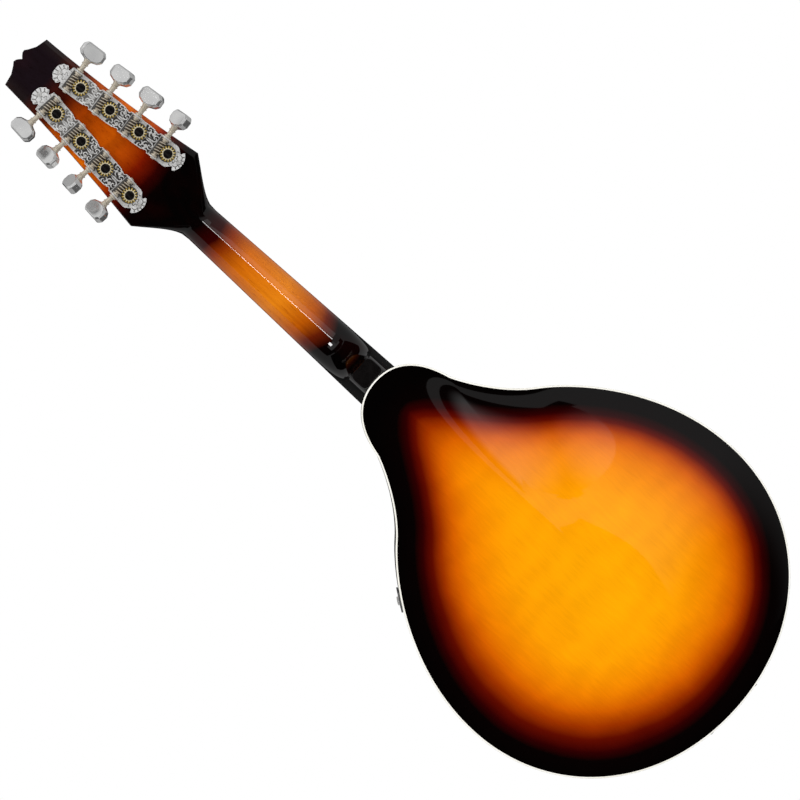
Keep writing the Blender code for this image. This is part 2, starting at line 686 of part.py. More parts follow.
def build_head_trim():
    low = neck_top(NUT_Y) + GAP
    bar = slotted_bar(NUT_WIDTH / 2, low, low + NUT_HEIGHT, COURSE_SPREAD_AT_NUT, string_z(NUT_Y))
    add_shape("nut", across_prism(bar, NUT_Y, NUT_Y + NUT_THICKNESS), "bone")
    head_frame = add_frame("headstock_frame", HEAD_FRAME)
    veneer = prism(head_outline(NUT_END + 1.5 * MM), -VENEER_THICKNESS, 0)
    veneer = add_shape("headstock_veneer", veneer, "plastic", head_frame)
    to_head = HEAD_FRAME.inverted()
    for side in SIDES:
        for number in range(4):
            hole = prism(circle(POST_RADIUS + PLAY, 12, 0.5), -30 * MM, 30 * MM)
            cut(veneer, placed(hole, to_head @ tuner_matrix(side, number)))
    bell = [(0, 32 * MM), (4 * MM, 30.5 * MM), (5.5 * MM, 25 * MM), (7 * MM, 14 * MM), (10 * MM, 7 * MM)]
    cover = np.array([(-x, y + NUT_END) for x, y in bell[:0:-1]] + [(x, y + NUT_END) for x, y in bell])
    cover = np.vstack([cover[::-1], [(-7 * MM, NUT_END + 3 * MM), (7 * MM, NUT_END + 3 * MM)]])
    add_shape("truss_rod_cover", prism(cover, GAP, GAP + 1.8 * MM), "plastic", head_frame)


# Tuners

def strip_matrix(side):
    """Frame on a tuner plate's outer face at the post nearest the nut.

    X points out of the headstock's edge and Y along the plate towards the tip.
    """
    sign = SIDES[side]
    run = 3 * TUNER_SPACING
    taper = math.asin((TUNER_FIRST_HALF - TUNER_LAST_HALF) / run)
    depth = -(HEAD_THICKNESS + GAP + TUNER_PLATE_THICKNESS)
    place = Matrix.Translation((sign * TUNER_FIRST_HALF, TUNER_FIRST_Y, depth))
    turn = Matrix.Rotation(sign * taper, 4, "Z")
    flip = Matrix.Rotation(0 if sign > 0 else math.pi, 4, "Y")
    return HEAD_FRAME @ place @ turn @ flip


def tuner_matrix(side, number):
    return strip_matrix(side) @ Matrix.Translation((0, number * TUNER_SPACING, 0))


def tuner_plate_half():
    """Right half of the plate's outline: a shield at the nut end, a fan at the tip end."""
    half = TUNER_PLATE_WIDTH / 2
    points = [(0, -12.9), (4.2, -12.6), (5.2, -11.4), (7.6, -10.6), (6.6, -9.0), (4.6, -8.2),
              (5.0, -7.4), (7.2, -5.4)]
    points = [(x * MM, y * MM) for x, y in points]
    ear_end = WORM_OFFSET + EAR_LENGTH / 2
    for number in range(4):
        base = number * TUNER_SPACING
        points.append((half, base - 3 * MM))
        points.append((half, base + ear_end + 0.5 * MM))
        if number < 3:
            points.append((half - 1.4 * MM, base + ear_end + 2.0 * MM))
            points.append((half - 1.4 * MM, base + ear_end + 3.4 * MM))
    tip = 3 * TUNER_SPACING + ear_end
    fan = [(5.2, 0.8), (5.0, 1.8), (7.4, 3.4), (7.0, 6.0), (5.2, 8.4), (2.6, 9.6), (0, 9.8)]
    return np.array(points + [(x * MM, tip + y * MM) for x, y in fan])


def tuner_plate(back):
    """Flat plate; `back` is the sign of Z away from the wood."""
    outline = mirrored(tuner_plate_half())
    return prism(outline, *sorted((0, -back * TUNER_PLATE_THICKNESS)))


def gear_disc():
    """Toothed disc about Z, its teeth slanted by the worm's lead."""
    lead = WORM_PITCH / (2 * math.pi * WORM_RADIUS)
    step = 2 * math.pi / GEAR_TEETH
    root, crest = GEAR_RADIUS - GEAR_DEDENDUM, GEAR_RADIUS + GEAR_ADDENDUM
    half = TOOTH_SHARE * WORM_PITCH / 2
    slope = math.tan(math.radians(15))
    rings = []
    for z in (-GEAR_FACE / 2, GEAR_FACE / 2):
        twist = lead * z / GEAR_RADIUS
        ring = []
        for tooth in range(GEAR_TEETH):
            centre = math.pi / 2 + step * (tooth + 0.5) + twist
            for radius, sign in ((root, -1), (crest, -1), (crest, 1), (root, 1)):
                width = half - slope * (radius - GEAR_RADIUS)
                angle = centre + sign * width / radius
                ring.append((radius * math.cos(angle), radius * math.sin(angle), z))
        rings.append(ring)
    return lofted(rings)


def post_profile():
    """Post from the gear screw's head to the top of the post, along the way into the headstock."""
    reach = AXIS_HEIGHT + TUNER_PLATE_THICKNESS + GAP + HEAD_THICKNESS + POST_STAND
    outer = -(GEAR_FACE / 2 + 1.1 * MM)
    waist = reach - POST_STAND + STRING_HEIGHT_AT_POST
    return [(GEAR_SCREW_RADIUS * 0.8, outer), (GEAR_SCREW_RADIUS, outer + 0.3 * MM),
            (POST_RADIUS, GEAR_FACE / 2), (POST_RADIUS, waist - 3 * MM), (POST_RADIUS - 0.5 * MM, waist),
            (POST_RADIUS, waist + 3 * MM), (POST_RADIUS * 0.9, reach)]


def worm_shaft():
    """Shaft along X with a helical thread, turned collars and two journals.

    The thread's vertices lie on four helices; a step of one turn joins each coil to the next.
    """
    steps = 8
    root, crest = WORM_RADIUS - WORM_DEDENDUM, WORM_RADIUS + WORM_ADDENDUM
    half = TOOTH_SHARE * WORM_PITCH / 2
    slope = math.tan(math.radians(15))
    foot, land = half + slope * WORM_DEDENDUM, half - slope * WORM_ADDENDUM
    total = steps * WORM_TURNS
    start = -WORM_PITCH * WORM_TURNS / 2
    points, faces = [], []
    for i in range(total + 1):
        turn = 2 * math.pi * i / steps
        x = start + WORM_PITCH * i / steps
        full = min(1.0, i / 4, (total - i) / 4)
        high = root + (crest - root) * full
        for shift, radius in ((-foot, root), (-land, high), (land, high), (foot, root)):
            points.append((x + shift, radius * math.cos(turn), radius * math.sin(turn)))
    for i in range(total):
        for j in range(3):
            faces.append((4 * i + j, 4 * i + j + 1, 4 * i + j + 5, 4 * i + j + 4))
        if i + steps < total:
            faces.append((4 * i + 3, 4 * (i + steps), 4 * (i + 1 + steps), 4 * i + 7))

    def ring(x, radius, phase):
        first = len(points)
        for k in range(steps):
            turn = 2 * math.pi * (k + phase) / steps
            points.append((x, radius * math.cos(turn), radius * math.sin(turn)))
        return [first + k for k in range(steps)]

    def band(a, b):
        for k in range(steps):
            faces.append((a[k], a[(k + 1) % steps], b[(k + 1) % steps], b[k]))

    ear_inner = TUNER_PLATE_WIDTH / 2 - EAR_THICKNESS
    ear_outer = TUNER_PLATE_WIDTH / 2
    collar = SHAFT_RADIUS + 0.9 * MM
    low = [(-ear_outer - 0.8 * MM, SHAFT_RADIUS - 0.4 * MM),
           (-ear_inner + PLAY, SHAFT_RADIUS - 0.4 * MM), (-ear_inner + PLAY, SHAFT_RADIUS + 0.5 * MM),
           (start - foot - 0.5 * MM, SHAFT_RADIUS + 0.5 * MM), (start - foot - 0.3 * MM, root)]
    rings = [ring(x, radius, 0) for x, radius in low]
    faces.append(tuple(rings[0]))
    for a, b in zip(rings, rings[1:]):
        band(a, b)
    last = rings[-1]
    for k in range(steps - 1):
        faces.append((last[k], last[k + 1], 4 * (k + 1), 4 * k))
    pivot = 4 * (steps - 1)
    chain = [last[steps - 1], last[0], 0, 1, 2, 3, 4 * steps]
    faces += [(pivot, chain[k], chain[k + 1]) for k in range(len(chain) - 1)]

    end_x = points[4 * total + 3][0]
    high = [(end_x + 0.3 * MM, root), (end_x + 0.5 * MM, SHAFT_RADIUS + 0.5 * MM),
            (ear_inner - PLAY, SHAFT_RADIUS + 0.5 * MM), (ear_inner - PLAY, SHAFT_RADIUS),
            (ear_outer + PLAY, SHAFT_RADIUS), (ear_outer + PLAY, collar), (ear_outer + 1.4 * MM, collar),
            (ear_outer + 1.8 * MM, SHAFT_RADIUS), (BUTTON_START + 2.5 * MM, SHAFT_RADIUS)]
    phase = total % steps
    rings = [ring(x, radius, phase) for x, radius in high]
    first = rings[0]
    base = total - steps
    side = [4 * (base + k) + 3 for k in range(steps + 1)]
    chain = [side[0], 4 * total, 4 * total + 1, 4 * total + 2, 4 * total + 3, first[0], first[1]]
    faces += [(side[1], chain[k], chain[k + 1]) for k in range(len(chain) - 1)]
    for k in range(1, steps):
        faces.append((side[k], side[k + 1], first[(k + 1) % steps], first[k]))
    for a, b in zip(rings, rings[1:]):
        band(a, b)
    faces.append(tuple(rings[-1]))
    return points, faces


def button():
    """Faceted oval button: its outline lies in the plane of the shaft, its faces are chamfered."""
    wide, long, thick = BUTTON_WIDTH / 2, BUTTON_LENGTH, BUTTON_THICKNESS / 2
    half = [(0.24, 0.0), (0.72, 0.12), (1.0, 0.36), (0.98, 0.70), (0.62, 0.95), (0.26, 1.0)]
    half = np.array([(BUTTON_START + v * long, u * wide) for u, v in half])
    outline = np.vstack([half, half[::-1] * [1, -1]])
    middle = np.array([BUTTON_START + long / 2, 0])
    face = middle + (outline - middle) * 0.84
    return lofted([at(face, -thick), at(outline, -thick * 0.62), at(outline, thick * 0.62),
                   at(face, thick)])


def build_tuners():
    key = cut(add_shape("tuner_key_treble_1", worm_shaft(), "chrome"), button(), "UNION").data
    bpy.data.objects.remove(bpy.data.objects["tuner_key_treble_1"])
    for side, sign in SIDES.items():
        back = -sign
        frame = add_frame(f"tuner_frame_{side}", strip_matrix(side))
        plate = add_shape(f"tuner_plate_{side}", tuner_plate(back), "nickel", frame)
        build_tuner_ears(plate, back)
        flip = Matrix.Rotation(0 if back < 0 else math.pi, 4, "X")
        post = add_shape("post", placed(turned(post_profile(), 12), flip), "brass")
        post = cut(post, gear_disc(), "UNION").data
        bpy.data.objects.remove(bpy.data.objects["post"])
        for number in range(4):
            turn = math.radians(BUTTON_ANGLES[side][number])
            y = number * TUNER_SPACING
            z = back * AXIS_HEIGHT
            add(f"tuner_post_{side}_{number + 1}", post, "brass", frame,
                (0, y, z), (0, 0, turn / GEAR_TEETH))
            add(f"tuner_key_{side}_{number + 1}", key, "chrome", frame,
                (0, y + WORM_OFFSET, z), (turn, 0, 0))


def build_tuner_ears(plate, back):
    """An ear bent up at each edge of the plate beside every worm, bored for the shaft."""
    outer = TUNER_PLATE_WIDTH / 2 - 0.02 * MM
    low, high = sorted((-back * TUNER_PLATE_THICKNESS / 2, back * (AXIS_HEIGHT + EAR_CREST)))
    for number in range(4):
        worm_y = number * TUNER_SPACING + WORM_OFFSET
        for edge in (-1, 1):
            xs = sorted((edge * outer, edge * (outer - EAR_THICKNESS)))
            ear = box((xs[0], worm_y - EAR_LENGTH / 2, low), (xs[1], worm_y + EAR_LENGTH / 2, high))
            cut(plate, ear, "UNION")
        bore = lofted([[(x, worm_y + y, back * AXIS_HEIGHT + z) for y, z in circle(SHAFT_RADIUS + PLAY, 14)]
                       for x in (-outer - 1 * MM, outer + 1 * MM)])
        cut(plate, bore)
        hole = prism(circle(POST_RADIUS + PLAY, 12, 0.5) + [0, number * TUNER_SPACING], -5 * MM, 5 * MM)
        cut(plate, hole)


# Bridge

def saddle_seat_z():
    """Top of the thumbwheels at rest."""
    return TOP_FACE_Z + TOP_ARCH + BRIDGE_BASE_HEIGHT + WHEEL_LIFT + WHEEL_THICKNESS


def build_bridge():
    half = BRIDGE_BASE_LENGTH / 2
    top = TOP_FACE_Z + TOP_ARCH + BRIDGE_BASE_HEIGHT
    xs = np.linspace(-half, half, 17)
    under = []
    for x in xs:
        relief = 1.8 * MM if abs(x) < 18 * MM else 0.0
        under.append((x, top_z(x, BRIDGE_Y) + GAP + relief))
    over = [(x, top - 2.6 * MM * max(0.0, (abs(x) - 42 * MM) / (half - 42 * MM))) for x in xs[::-1]]
    low_y, high_y = BRIDGE_Y - BRIDGE_BASE_WIDTH / 2, BRIDGE_Y + BRIDGE_BASE_WIDTH / 2
    base = add_shape("bridge_base", across_prism(np.array(under + over), low_y, high_y), "rosewood")
    post_top = saddle_seat_z() + 3.0 * MM
    post_low = top - 3.2 * MM
    saddle_low = saddle_seat_z() + GAP
    saddle_top = string_z(BRIDGE_Y) + 0.4 * MM
    bar = slotted_bar(SADDLE_LENGTH / 2, saddle_low, saddle_top, COURSE_SPREAD_AT_BRIDGE,
                      string_z(BRIDGE_Y))
    bar = across_prism(bar, BRIDGE_Y - SADDLE_WIDTH / 2, BRIDGE_Y + SADDLE_WIDTH / 2)
    saddle = add_shape("bridge_saddle", bar, "rosewood")
    for name, side in SIDES.items():
        centre = np.array([side * BRIDGE_POST_HALF, BRIDGE_Y])
        bore = circle(BRIDGE_POST_RADIUS + PLAY, 12, 0.5) + centre
        cut(base, prism(bore, post_low - GAP, top + 5 * MM))
        cut(saddle, prism(bore, saddle_low - 5 * MM, post_top + 1.3 * MM))
        place = (centre[0], centre[1], 0)
        post = turned([(BRIDGE_POST_RADIUS, post_low), (BRIDGE_POST_RADIUS, post_top)], 12)
        add_shape(f"bridge_post_{name}", post, "brass", None, place)
        wheel = prism(circle(WHEEL_RADIUS, 20), 0, WHEEL_THICKNESS)
        place = (centre[0], centre[1], top + WHEEL_LIFT)
        wheel = add_shape(f"thumbwheel_{name}", wheel, "brass", None, place)
        cut(wheel, prism(circle(BRIDGE_POST_RADIUS + PLAY, 12, 0.5), -5 * MM, 5 * MM))


# Tailpiece

TAIL_FRAME = (Matrix.Translation((0, -TAIL_LENGTH - GAP, TOP_FACE_Z + GAP))
              @ Matrix.Rotation(TAIL_SLOPE, 4, "X"))


def build_tailpiece():
    """Sheet bent over the tail with a row of hooks, and the channel-shaped cover that slides off it."""
    frame = add_frame("tailpiece_frame", TAIL_FRAME)
    half = TAILPIECE_WIDTH / 2
    sheet = TAILPIECE_SHEET
    leg = side_prism([(-sheet, -TAILPIECE_DROP), (0, -TAILPIECE_DROP), (0, sheet), (-sheet, sheet)],
                     -half, half)
    top = box((-half, -sheet, 0), (half, TAILPIECE_LENGTH, sheet))
    base = add_shape("tailpiece_base", top, "nickel", frame)
    straight = TAIL_FRAME.inverted() @ Matrix.Translation(TAIL_FRAME.translation)
    cut(base, placed(leg, straight), "UNION")
    for x in string_xs(COURSE_SPREAD_AT_BRIDGE):
        low = (x - 0.8 * MM, HOOK_Y - 1.6 * MM, sheet / 2)
        high = (x + 0.8 * MM, HOOK_Y, sheet + HOOK_HEIGHT)
        cut(base, box(low, high), "UNION")
    outer = half + GAP + COVER_SHEET
    inner = half + GAP
    height, wall = COVER_HEIGHT, COVER_SHEET
    section = [(-outer, 0), (-inner, 0), (-inner, height - wall - 1.5 * MM),
               (-inner + 2.5 * MM, height - wall), (inner - 2.5 * MM, height - wall),
               (inner, height - wall - 1.5 * MM), (inner, 0), (outer, 0),
               (outer, height - 2.5 * MM), (outer - 3 * MM, height), (-outer + 3 * MM, height),
               (-outer, height - 2.5 * MM)]
    cover = across_prism(np.array(section), -1 * MM, COVER_LENGTH - 1 * MM)
    add_shape("tailpiece_cover", cover, "nickel", frame)


# Strings

def tube(points, radius, sides=6):
    """Tube along a few points, each ring square to the string's run."""
    path = [Vector(p) for p in points]
    rings = []
    for i, centre in enumerate(path):
        way = (path[min(i + 1, len(path) - 1)] - path[max(i - 1, 0)]).normalized()
        across = way.cross(Vector((0, 0, 1))).normalized()
        up = across.cross(way)
        rings.append([tuple(centre + across * (radius * c) + up * (radius * s))
                      for c, s in circle(1.0, sides, 0.5)])
    return lofted(rings)


def build_strings():
    """Eight strings in four pairs, from the tailpiece's hooks to the posts."""
    bridge_xs = string_xs(COURSE_SPREAD_AT_BRIDGE)
    nut_xs = string_xs(COURSE_SPREAD_AT_NUT)
    for number in range(8):
        radius = string_radius(number)
        side = "bass" if number < 4 else "treble"
        place = number if number < 4 else 7 - number
        sign = SIDES[side]
        hook = TAIL_FRAME @ Vector((bridge_xs[number], HOOK_Y + GAP + radius, TAILPIECE_SHEET + 1.6 * MM))
        post = tuner_matrix(side, place)
        rise = HEAD_THICKNESS + GAP + TUNER_PLATE_THICKNESS + STRING_HEIGHT_AT_POST
        end = post @ Vector((-(POST_RADIUS + GAP + radius), 0, sign * rise))
        saddle_z = string_z(BRIDGE_Y) + radius
        nut_z = string_z(NUT_Y) + radius
        far = SADDLE_WIDTH / 2
        points = [hook, (bridge_xs[number], BRIDGE_Y - far, saddle_z),
                  (bridge_xs[number], BRIDGE_Y + far, saddle_z), (nut_xs[number], NUT_Y, nut_z),
                  (nut_xs[number], NUT_Y + NUT_THICKNESS + GAP, nut_z), end]
        add_shape(f"string_{number + 1}", tube(points, radius), "steel")


# Pickguard

def pickguard_outline():
    """Elongated drop beside the fretboard, with its round end near the bridge."""
    edge = neck_half(NECK_END) + PICKGUARD_SETBACK
    top_y = NECK_END - PICKGUARD_END
    inner = [(edge + x, y) for x, y in PICKGUARD_INNER]
    inner[0] = (edge, NECK_END - PICKGUARD_INNER[0][1])
    foot = [(edge + PICKGUARD_FOOT[0][0], BRIDGE_Y + PICKGUARD_FOOT[0][1]),
            (PICKGUARD_FOOT[1][0], BRIDGE_Y + PICKGUARD_FOOT[1][1])]
    outer = PICKGUARD_OUTER
    return np.vstack([
        [(edge, top_y)],
        bezier(*inner, 5),
        bezier(inner[3], *foot, outer[0], 7),
        bezier(*outer[:4], 7),
        bezier(*outer[3:], (edge + 2 * MM, top_y), 5),
    ])


def pickguard_z():
    return TOP_FACE_Z + PICKGUARD_HEIGHT


def build_pickguard():
    low = pickguard_z() - PICKGUARD_THICKNESS
    guard = add_shape("pickguard", prism(pickguard_outline(), low, pickguard_z()), "plastic")
    wide, long = PICKGUARD_BLOCK
    far = NECK_END - long
    block = [(neck_half(y) + GAP + x, y)
             for x, y in ((0, far - long), (wide, far - long), (wide, far), (0, far))]
    cut(guard, prism(np.array(block), top_z(neck_half(far) + wide, far) + 1.6 * MM, low + 0.5 * MM), "UNION")
    half = body_half()
    index = int(np.searchsorted(half[:, 1], BRACKET_Y))
    way = half[index] - half[index - 1]
    at_x, at_y = half[index - 1] + way * (BRACKET_Y - half[index - 1][1]) / way[1]
    way /= np.linalg.norm(way)
    base = Matrix(((way[1], way[0], 0, at_x), (-way[0], way[1], 0, at_y), (0, 0, 1, 0), (0, 0, 0, 1)))
    frame = add_frame("bracket_frame", base)
    sheet = BRACKET_SHEET
    arm_top = low - GAP
    near, far = GAP, GAP + sheet
    wide = BRACKET_WIDTH / 2
    leg = box((near, -wide, TOP_FACE_Z - BRACKET_DROP), (far, wide, TOP_FACE_Z + 2 * MM))
    bracket = add_shape("pickguard_bracket", leg, "chrome", frame)
    arm = [(near, TOP_FACE_Z + 1 * MM), (far, TOP_FACE_Z + 1 * MM), (far, arm_top - 2 * MM),
           (far - 2 * MM, arm_top), (-BRACKET_ARM, arm_top), (-BRACKET_ARM, arm_top - sheet),
           (near - 2 * MM, arm_top - sheet), (near, arm_top - 2 * MM - sheet)]
    narrow = BRACKET_ARM_WIDTH / 2
    cut(bracket, across_prism(np.array(arm), -narrow, narrow), "UNION")


def shade_pieces():
    """Round faces look smooth, and edges sharper than the limit stay crisp."""
    for piece in bpy.data.objects:
        if piece.type == "MESH":
            piece.data.shade_smooth()
            piece.data.set_sharp_from_angle(angle=SHARP_ANGLE)


def build():
    clear_scene()
    build_body()
    build_neck()
    build_tuners()
    build_bridge()
    build_tailpiece()
    build_strings()
    build_pickguard()
    shade_pieces()


build()
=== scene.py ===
"""An a-style mandolin in a sunburst finish, seen from behind: carved back, slim neck, snakehead headstock.

It is laid on its back with the soundboard up. +Y runs from the tail to the headstock and +X is the
treble side. The camera looks up at the back through the floor, which only hides what is under it
from above.
"""

import math

import bpy
import numpy as np
from mathutils import Matrix, Vector


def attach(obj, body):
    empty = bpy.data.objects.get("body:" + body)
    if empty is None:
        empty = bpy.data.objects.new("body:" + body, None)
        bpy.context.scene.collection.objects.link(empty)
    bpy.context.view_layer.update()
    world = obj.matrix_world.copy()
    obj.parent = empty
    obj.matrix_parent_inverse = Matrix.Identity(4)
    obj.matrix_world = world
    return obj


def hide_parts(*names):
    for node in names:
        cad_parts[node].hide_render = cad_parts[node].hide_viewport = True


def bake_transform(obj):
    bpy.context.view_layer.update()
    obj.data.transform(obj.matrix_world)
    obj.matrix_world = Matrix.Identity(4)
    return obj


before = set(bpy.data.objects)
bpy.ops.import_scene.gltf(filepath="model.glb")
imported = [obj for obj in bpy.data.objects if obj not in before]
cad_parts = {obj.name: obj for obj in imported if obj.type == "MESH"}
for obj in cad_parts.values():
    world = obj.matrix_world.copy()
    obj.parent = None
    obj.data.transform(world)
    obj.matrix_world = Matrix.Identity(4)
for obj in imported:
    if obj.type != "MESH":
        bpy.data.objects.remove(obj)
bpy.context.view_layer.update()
MM = 0.001
SIDES = {"treble": 1, "bass": -1}


# Studio
# The instrument lies on a pale table top under soft lamps, with as many lamps below as above, because
# the picture is taken from below. The table top lets every lamp and every reflection through. What the
# lacquer and the nickel mirror is a dark room with a few gray cards.

scene = bpy.context.scene
scene.view_settings.view_transform = "Standard"

CAMERA_RIGHT = (-0.674065, -0.738355, -0.021633)
CAMERA_UP = (-0.738429, 0.674305, -0.005911)
CAMERA_BACK = (0.018952, 0.011990, -0.999749)
CAMERA_PLACE = (0.0284008, 0.2135842, -1.5895976)
camera = bpy.data.objects.new("camera", bpy.data.cameras.new("camera"))
scene.collection.objects.link(camera)
camera_axes = zip(CAMERA_RIGHT, CAMERA_UP, CAMERA_BACK, CAMERA_PLACE)
camera.matrix_world = Matrix([*camera_axes, (0, 0, 0, 1)])
camera.data.sensor_width = 36
camera.data.lens = 102.857
camera.data.clip_end = 20
scene.camera = camera


def paint(red, green, blue):
    """A colour given as it is seen, 0 to 255, turned into the light values that the shaders take."""
    seen = np.array([red, green, blue]) / 255
    light = np.where(seen <= 0.04045, seen / 12.92, ((seen + 0.055) / 1.055) ** 2.4)
    return (*light.tolist(), 1.0)


def add_node(tree, kind, sockets=(), **settings):
    """One shader node. A socket given another node's output is linked to it, any other value is set."""
    made = tree.nodes.new(kind)
    for name, value in settings.items():
        setattr(made, name, value)
    for name, value in dict(sockets).items():
        if isinstance(value, bpy.types.NodeSocket):
            tree.links.new(value, made.inputs[name])
        else:
            made.inputs[name].default_value = value
    return made


def blank_tree(holder):
    """The node tree of a world or a material, switched on and emptied."""
    holder.use_nodes = True
    holder.node_tree.nodes.clear()
    return holder.node_tree


def mix_shaders(tree, share, first, second):
    """The second shader in that share over the first."""
    return add_node(tree, "ShaderNodeMixShader", {0: share, 1: first, 2: second}).outputs[0]


AMBIENT, ROOM, WHITE = 0.5, 0.34, 1.0
world = bpy.data.worlds.new("studio")
scene.world = world
tree = blank_tree(world)
rays = add_node(tree, "ShaderNodeLightPath").outputs
seen = add_node(tree, "ShaderNodeMath", {0: rays["Is Camera Ray"], 1: rays["Is Transmission Ray"]},
                operation="MAXIMUM").outputs[0]
soft, room, white = (add_node(tree, "ShaderNodeBackground",
                              {"Color": (1, 1, 1, 1), "Strength": level}).outputs[0]
                     for level in (AMBIENT, ROOM, WHITE))
mixed = mix_shaders(tree, seen, mix_shaders(tree, rays["Is Glossy Ray"], soft, room), white)
add_node(tree, "ShaderNodeOutputWorld", {"Surface": mixed})

LAMP_AIM = Vector((0, 0.18, 0.03))
LAMPS = (("lamp_head", (0.25, 1.75, -1.45), 0.9, 15.0), ("lamp_tail", (-0.25, -1.5, -1.4), 0.9, 9.5),
         ("lamp_treble", (1.55, 0.1, -1.4), 0.9, 10.0), ("lamp_bass", (-1.5, 0.45, -1.4), 0.9, 11.0),
         ("lamp_above_front", (0.9, -1.6, 1.7), 1.2, 13.0), ("lamp_above_left", (-1.6, 0.5, 1.6), 1.2, 11.0),
         ("lamp_above_back", (0.8, 1.7, 1.5), 1.0, 8.0))
for name, place, size, power in LAMPS:
    lamp = bpy.data.objects.new(name, bpy.data.lights.new(name, "AREA"))
    scene.collection.objects.link(lamp)
    lamp.data.shape, lamp.data.size, lamp.data.energy = "DISK", size, power
    lamp.visible_glossy = False
    lamp.location = place
    lamp.rotation_euler = (LAMP_AIM - Vector(place)).to_track_quat("-Z", "Y").to_euler()


def stage_plane(name, low, high):
    """A flat rectangle between two opposite corners, level or upright, that isn't part of the instrument."""
    mesh = bpy.data.meshes.new(name)
    if low[2] == high[2]:
        corners = [low, (high[0], low[1], low[2]), high, (low[0], high[1], low[2])]
    else:
        corners = [low, (high[0], high[1], low[2]), high, (low[0], low[1], high[2])]
    mesh.from_pydata(corners, [], [(0, 1, 2, 3)])
    plane = bpy.data.objects.new(name, mesh)
    scene.collection.objects.link(plane)
    return plane


FLOOR_HALF, FLOOR_DROP = 4.0, 0.6 * MM
floor = stage_plane("floor", (-FLOOR_HALF, -FLOOR_HALF, -FLOOR_DROP), (FLOOR_HALF, FLOOR_HALF, -FLOOR_DROP))
floor.visible_shadow = floor.visible_glossy = floor.visible_diffuse = False
material = bpy.data.materials.new("table_top")
tree = blank_tree(material)
face = add_node(tree, "ShaderNodeNewGeometry").outputs["Backfacing"]
pale = add_node(tree, "ShaderNodeBsdfDiffuse", {"Color": paint(250, 250, 250)}).outputs[0]
clear = add_node(tree, "ShaderNodeBsdfTransparent").outputs[0]
add_node(tree, "ShaderNodeOutputMaterial", {"Surface": mix_shaders(tree, face, pale, clear)})
floor.data.materials.append(material)


def card(name, low, high, strength, fade=None, only=None):
    """A card that nothing sees but reflections: black, or glowing.

    With `fade` (a, b, c, d), the glow is the strength times a smooth step of (a x + b y + c) / d. With
    `only`, a collection, the card is mirrored by the pieces in it and by no others.
    """
    plane = stage_plane(name, low, high)
    plane.visible_camera = plane.visible_diffuse = plane.visible_shadow = plane.visible_transmission = False
    material = bpy.data.materials.new(name)
    tree = blank_tree(material)
    if fade:
        place = add_node(tree, "ShaderNodeTexCoord").outputs["Object"]
        along = add_node(tree, "ShaderNodeVectorMath", {0: place, 1: (fade[0], fade[1], 0)},
                         operation="DOT_PRODUCT").outputs["Value"]
        strength = add_node(tree, "ShaderNodeMapRange", {"Value": along, "From Min": -fade[2],
                                                         "From Max": fade[3] - fade[2], "To Min": 0.0,
                                                         "To Max": strength},
                            interpolation_type="SMOOTHSTEP").outputs["Result"]
    glow = add_node(tree, "ShaderNodeEmission", {"Color": (1, 1, 1, 1), "Strength": strength})
    add_node(tree, "ShaderNodeOutputMaterial", {"Surface": glow.outputs[0]})
    plane.data.materials.append(material)
    if only:
        plane.light_linking.receiver_collection = only


card("dark_card", (-1.9, -2.2, -2.4), (4.0, 2.4, -2.4), 0.0)
card("overhead_card", (-1.6, -1.6, 2.6), (1.6, 2.0, 2.6), 0.02)
card("near_card", (-2.4, -2.3, -2.4), (2.0, -2.3, 1.6), 0.0)
card("head_card", (-0.9, 0.75, -2.35), (0.9, 1.7, -2.35), 0.6)
card("soft_card", (-1.8, -0.8, -2.3), (-0.25, 1.4, -2.3), 0.3, fade=(0.0, 1.0, 0.75, 0.5))
card("side_card", (-1.8, 0.12, -2.28), (-0.42, 0.5, -2.28), 0.9, fade=(-1.0, 0.0, -0.42, 0.3))


# Carved back
# Two maple boards glued up the middle and carved to a low arch, with a flat crown that the instrument
# rests on. Stained amber, sprayed black round the edge over a red-brown fade, and polished to a gloss.

BODY_WIDTH, TAIL_LENGTH, BODY_END = 270.6 * MM, 126.4 * MM, 216.7 * MM
SHOULDER, SHOULDER_SLANT = np.array([73.2, 129.8]) * MM, math.radians(50.9)
LOBE, LOBE_SLANT = np.array([38.1, 178.9]) * MM, math.radians(23.4)
BACK_EDGE, BACK_ARCH, BACK_THICKNESS = 8.5 * MM, 8.5 * MM, 3.2 * MM
BINDING_WIDTH, GAP = 1.2 * MM, 0.3 * MM
CROWN, ARCH_POWER = 0.12, 1.3


def curve(p0, p1, p2, p3, count):
    """Points of a cubic Bezier curve without its last one."""
    t = np.arange(count)[:, None] / count
    p0, p1, p2, p3 = (np.array(p, float) for p in (p0, p1, p2, p3))
    return (1 - t) ** 3 * p0 + 3 * t * (1 - t) ** 2 * p1 + 3 * t * t * (1 - t) * p2 + t**3 * p3


def body_half():
    """Treble half of the outline from tail to neck: tail round, bout, hollow shoulder and round end."""
    half = BODY_WIDTH / 2
    tail, hip, end = np.array([0, -TAIL_LENGTH]), np.array([half, 0]), np.array([0, BODY_END])
    way_in = np.array([-math.sin(SHOULDER_SLANT), math.cos(SHOULDER_SLANT)])
    way_up = np.array([-math.sin(LOBE_SLANT), math.cos(LOBE_SLANT)])
    bout, waist, top = (np.linalg.norm(a - b) for a, b in ((SHOULDER, hip), (LOBE, SHOULDER), (end, LOBE)))
    return np.vstack([
        curve(tail, tail + [half * 0.58, 0], hip - [0, TAIL_LENGTH * 0.562], hip, 48),
        curve(hip, hip + [0, bout * 0.43], SHOULDER - way_in * bout * 0.21, SHOULDER, 32),
        curve(SHOULDER, SHOULDER + way_in * waist * 0.36, LOBE - way_up * waist * 0.237, LOBE, 18),
        curve(LOBE, LOBE + way_up * top * 0.08, end + [top * 0.60, 0], end, 24),
        end[None],
    ])


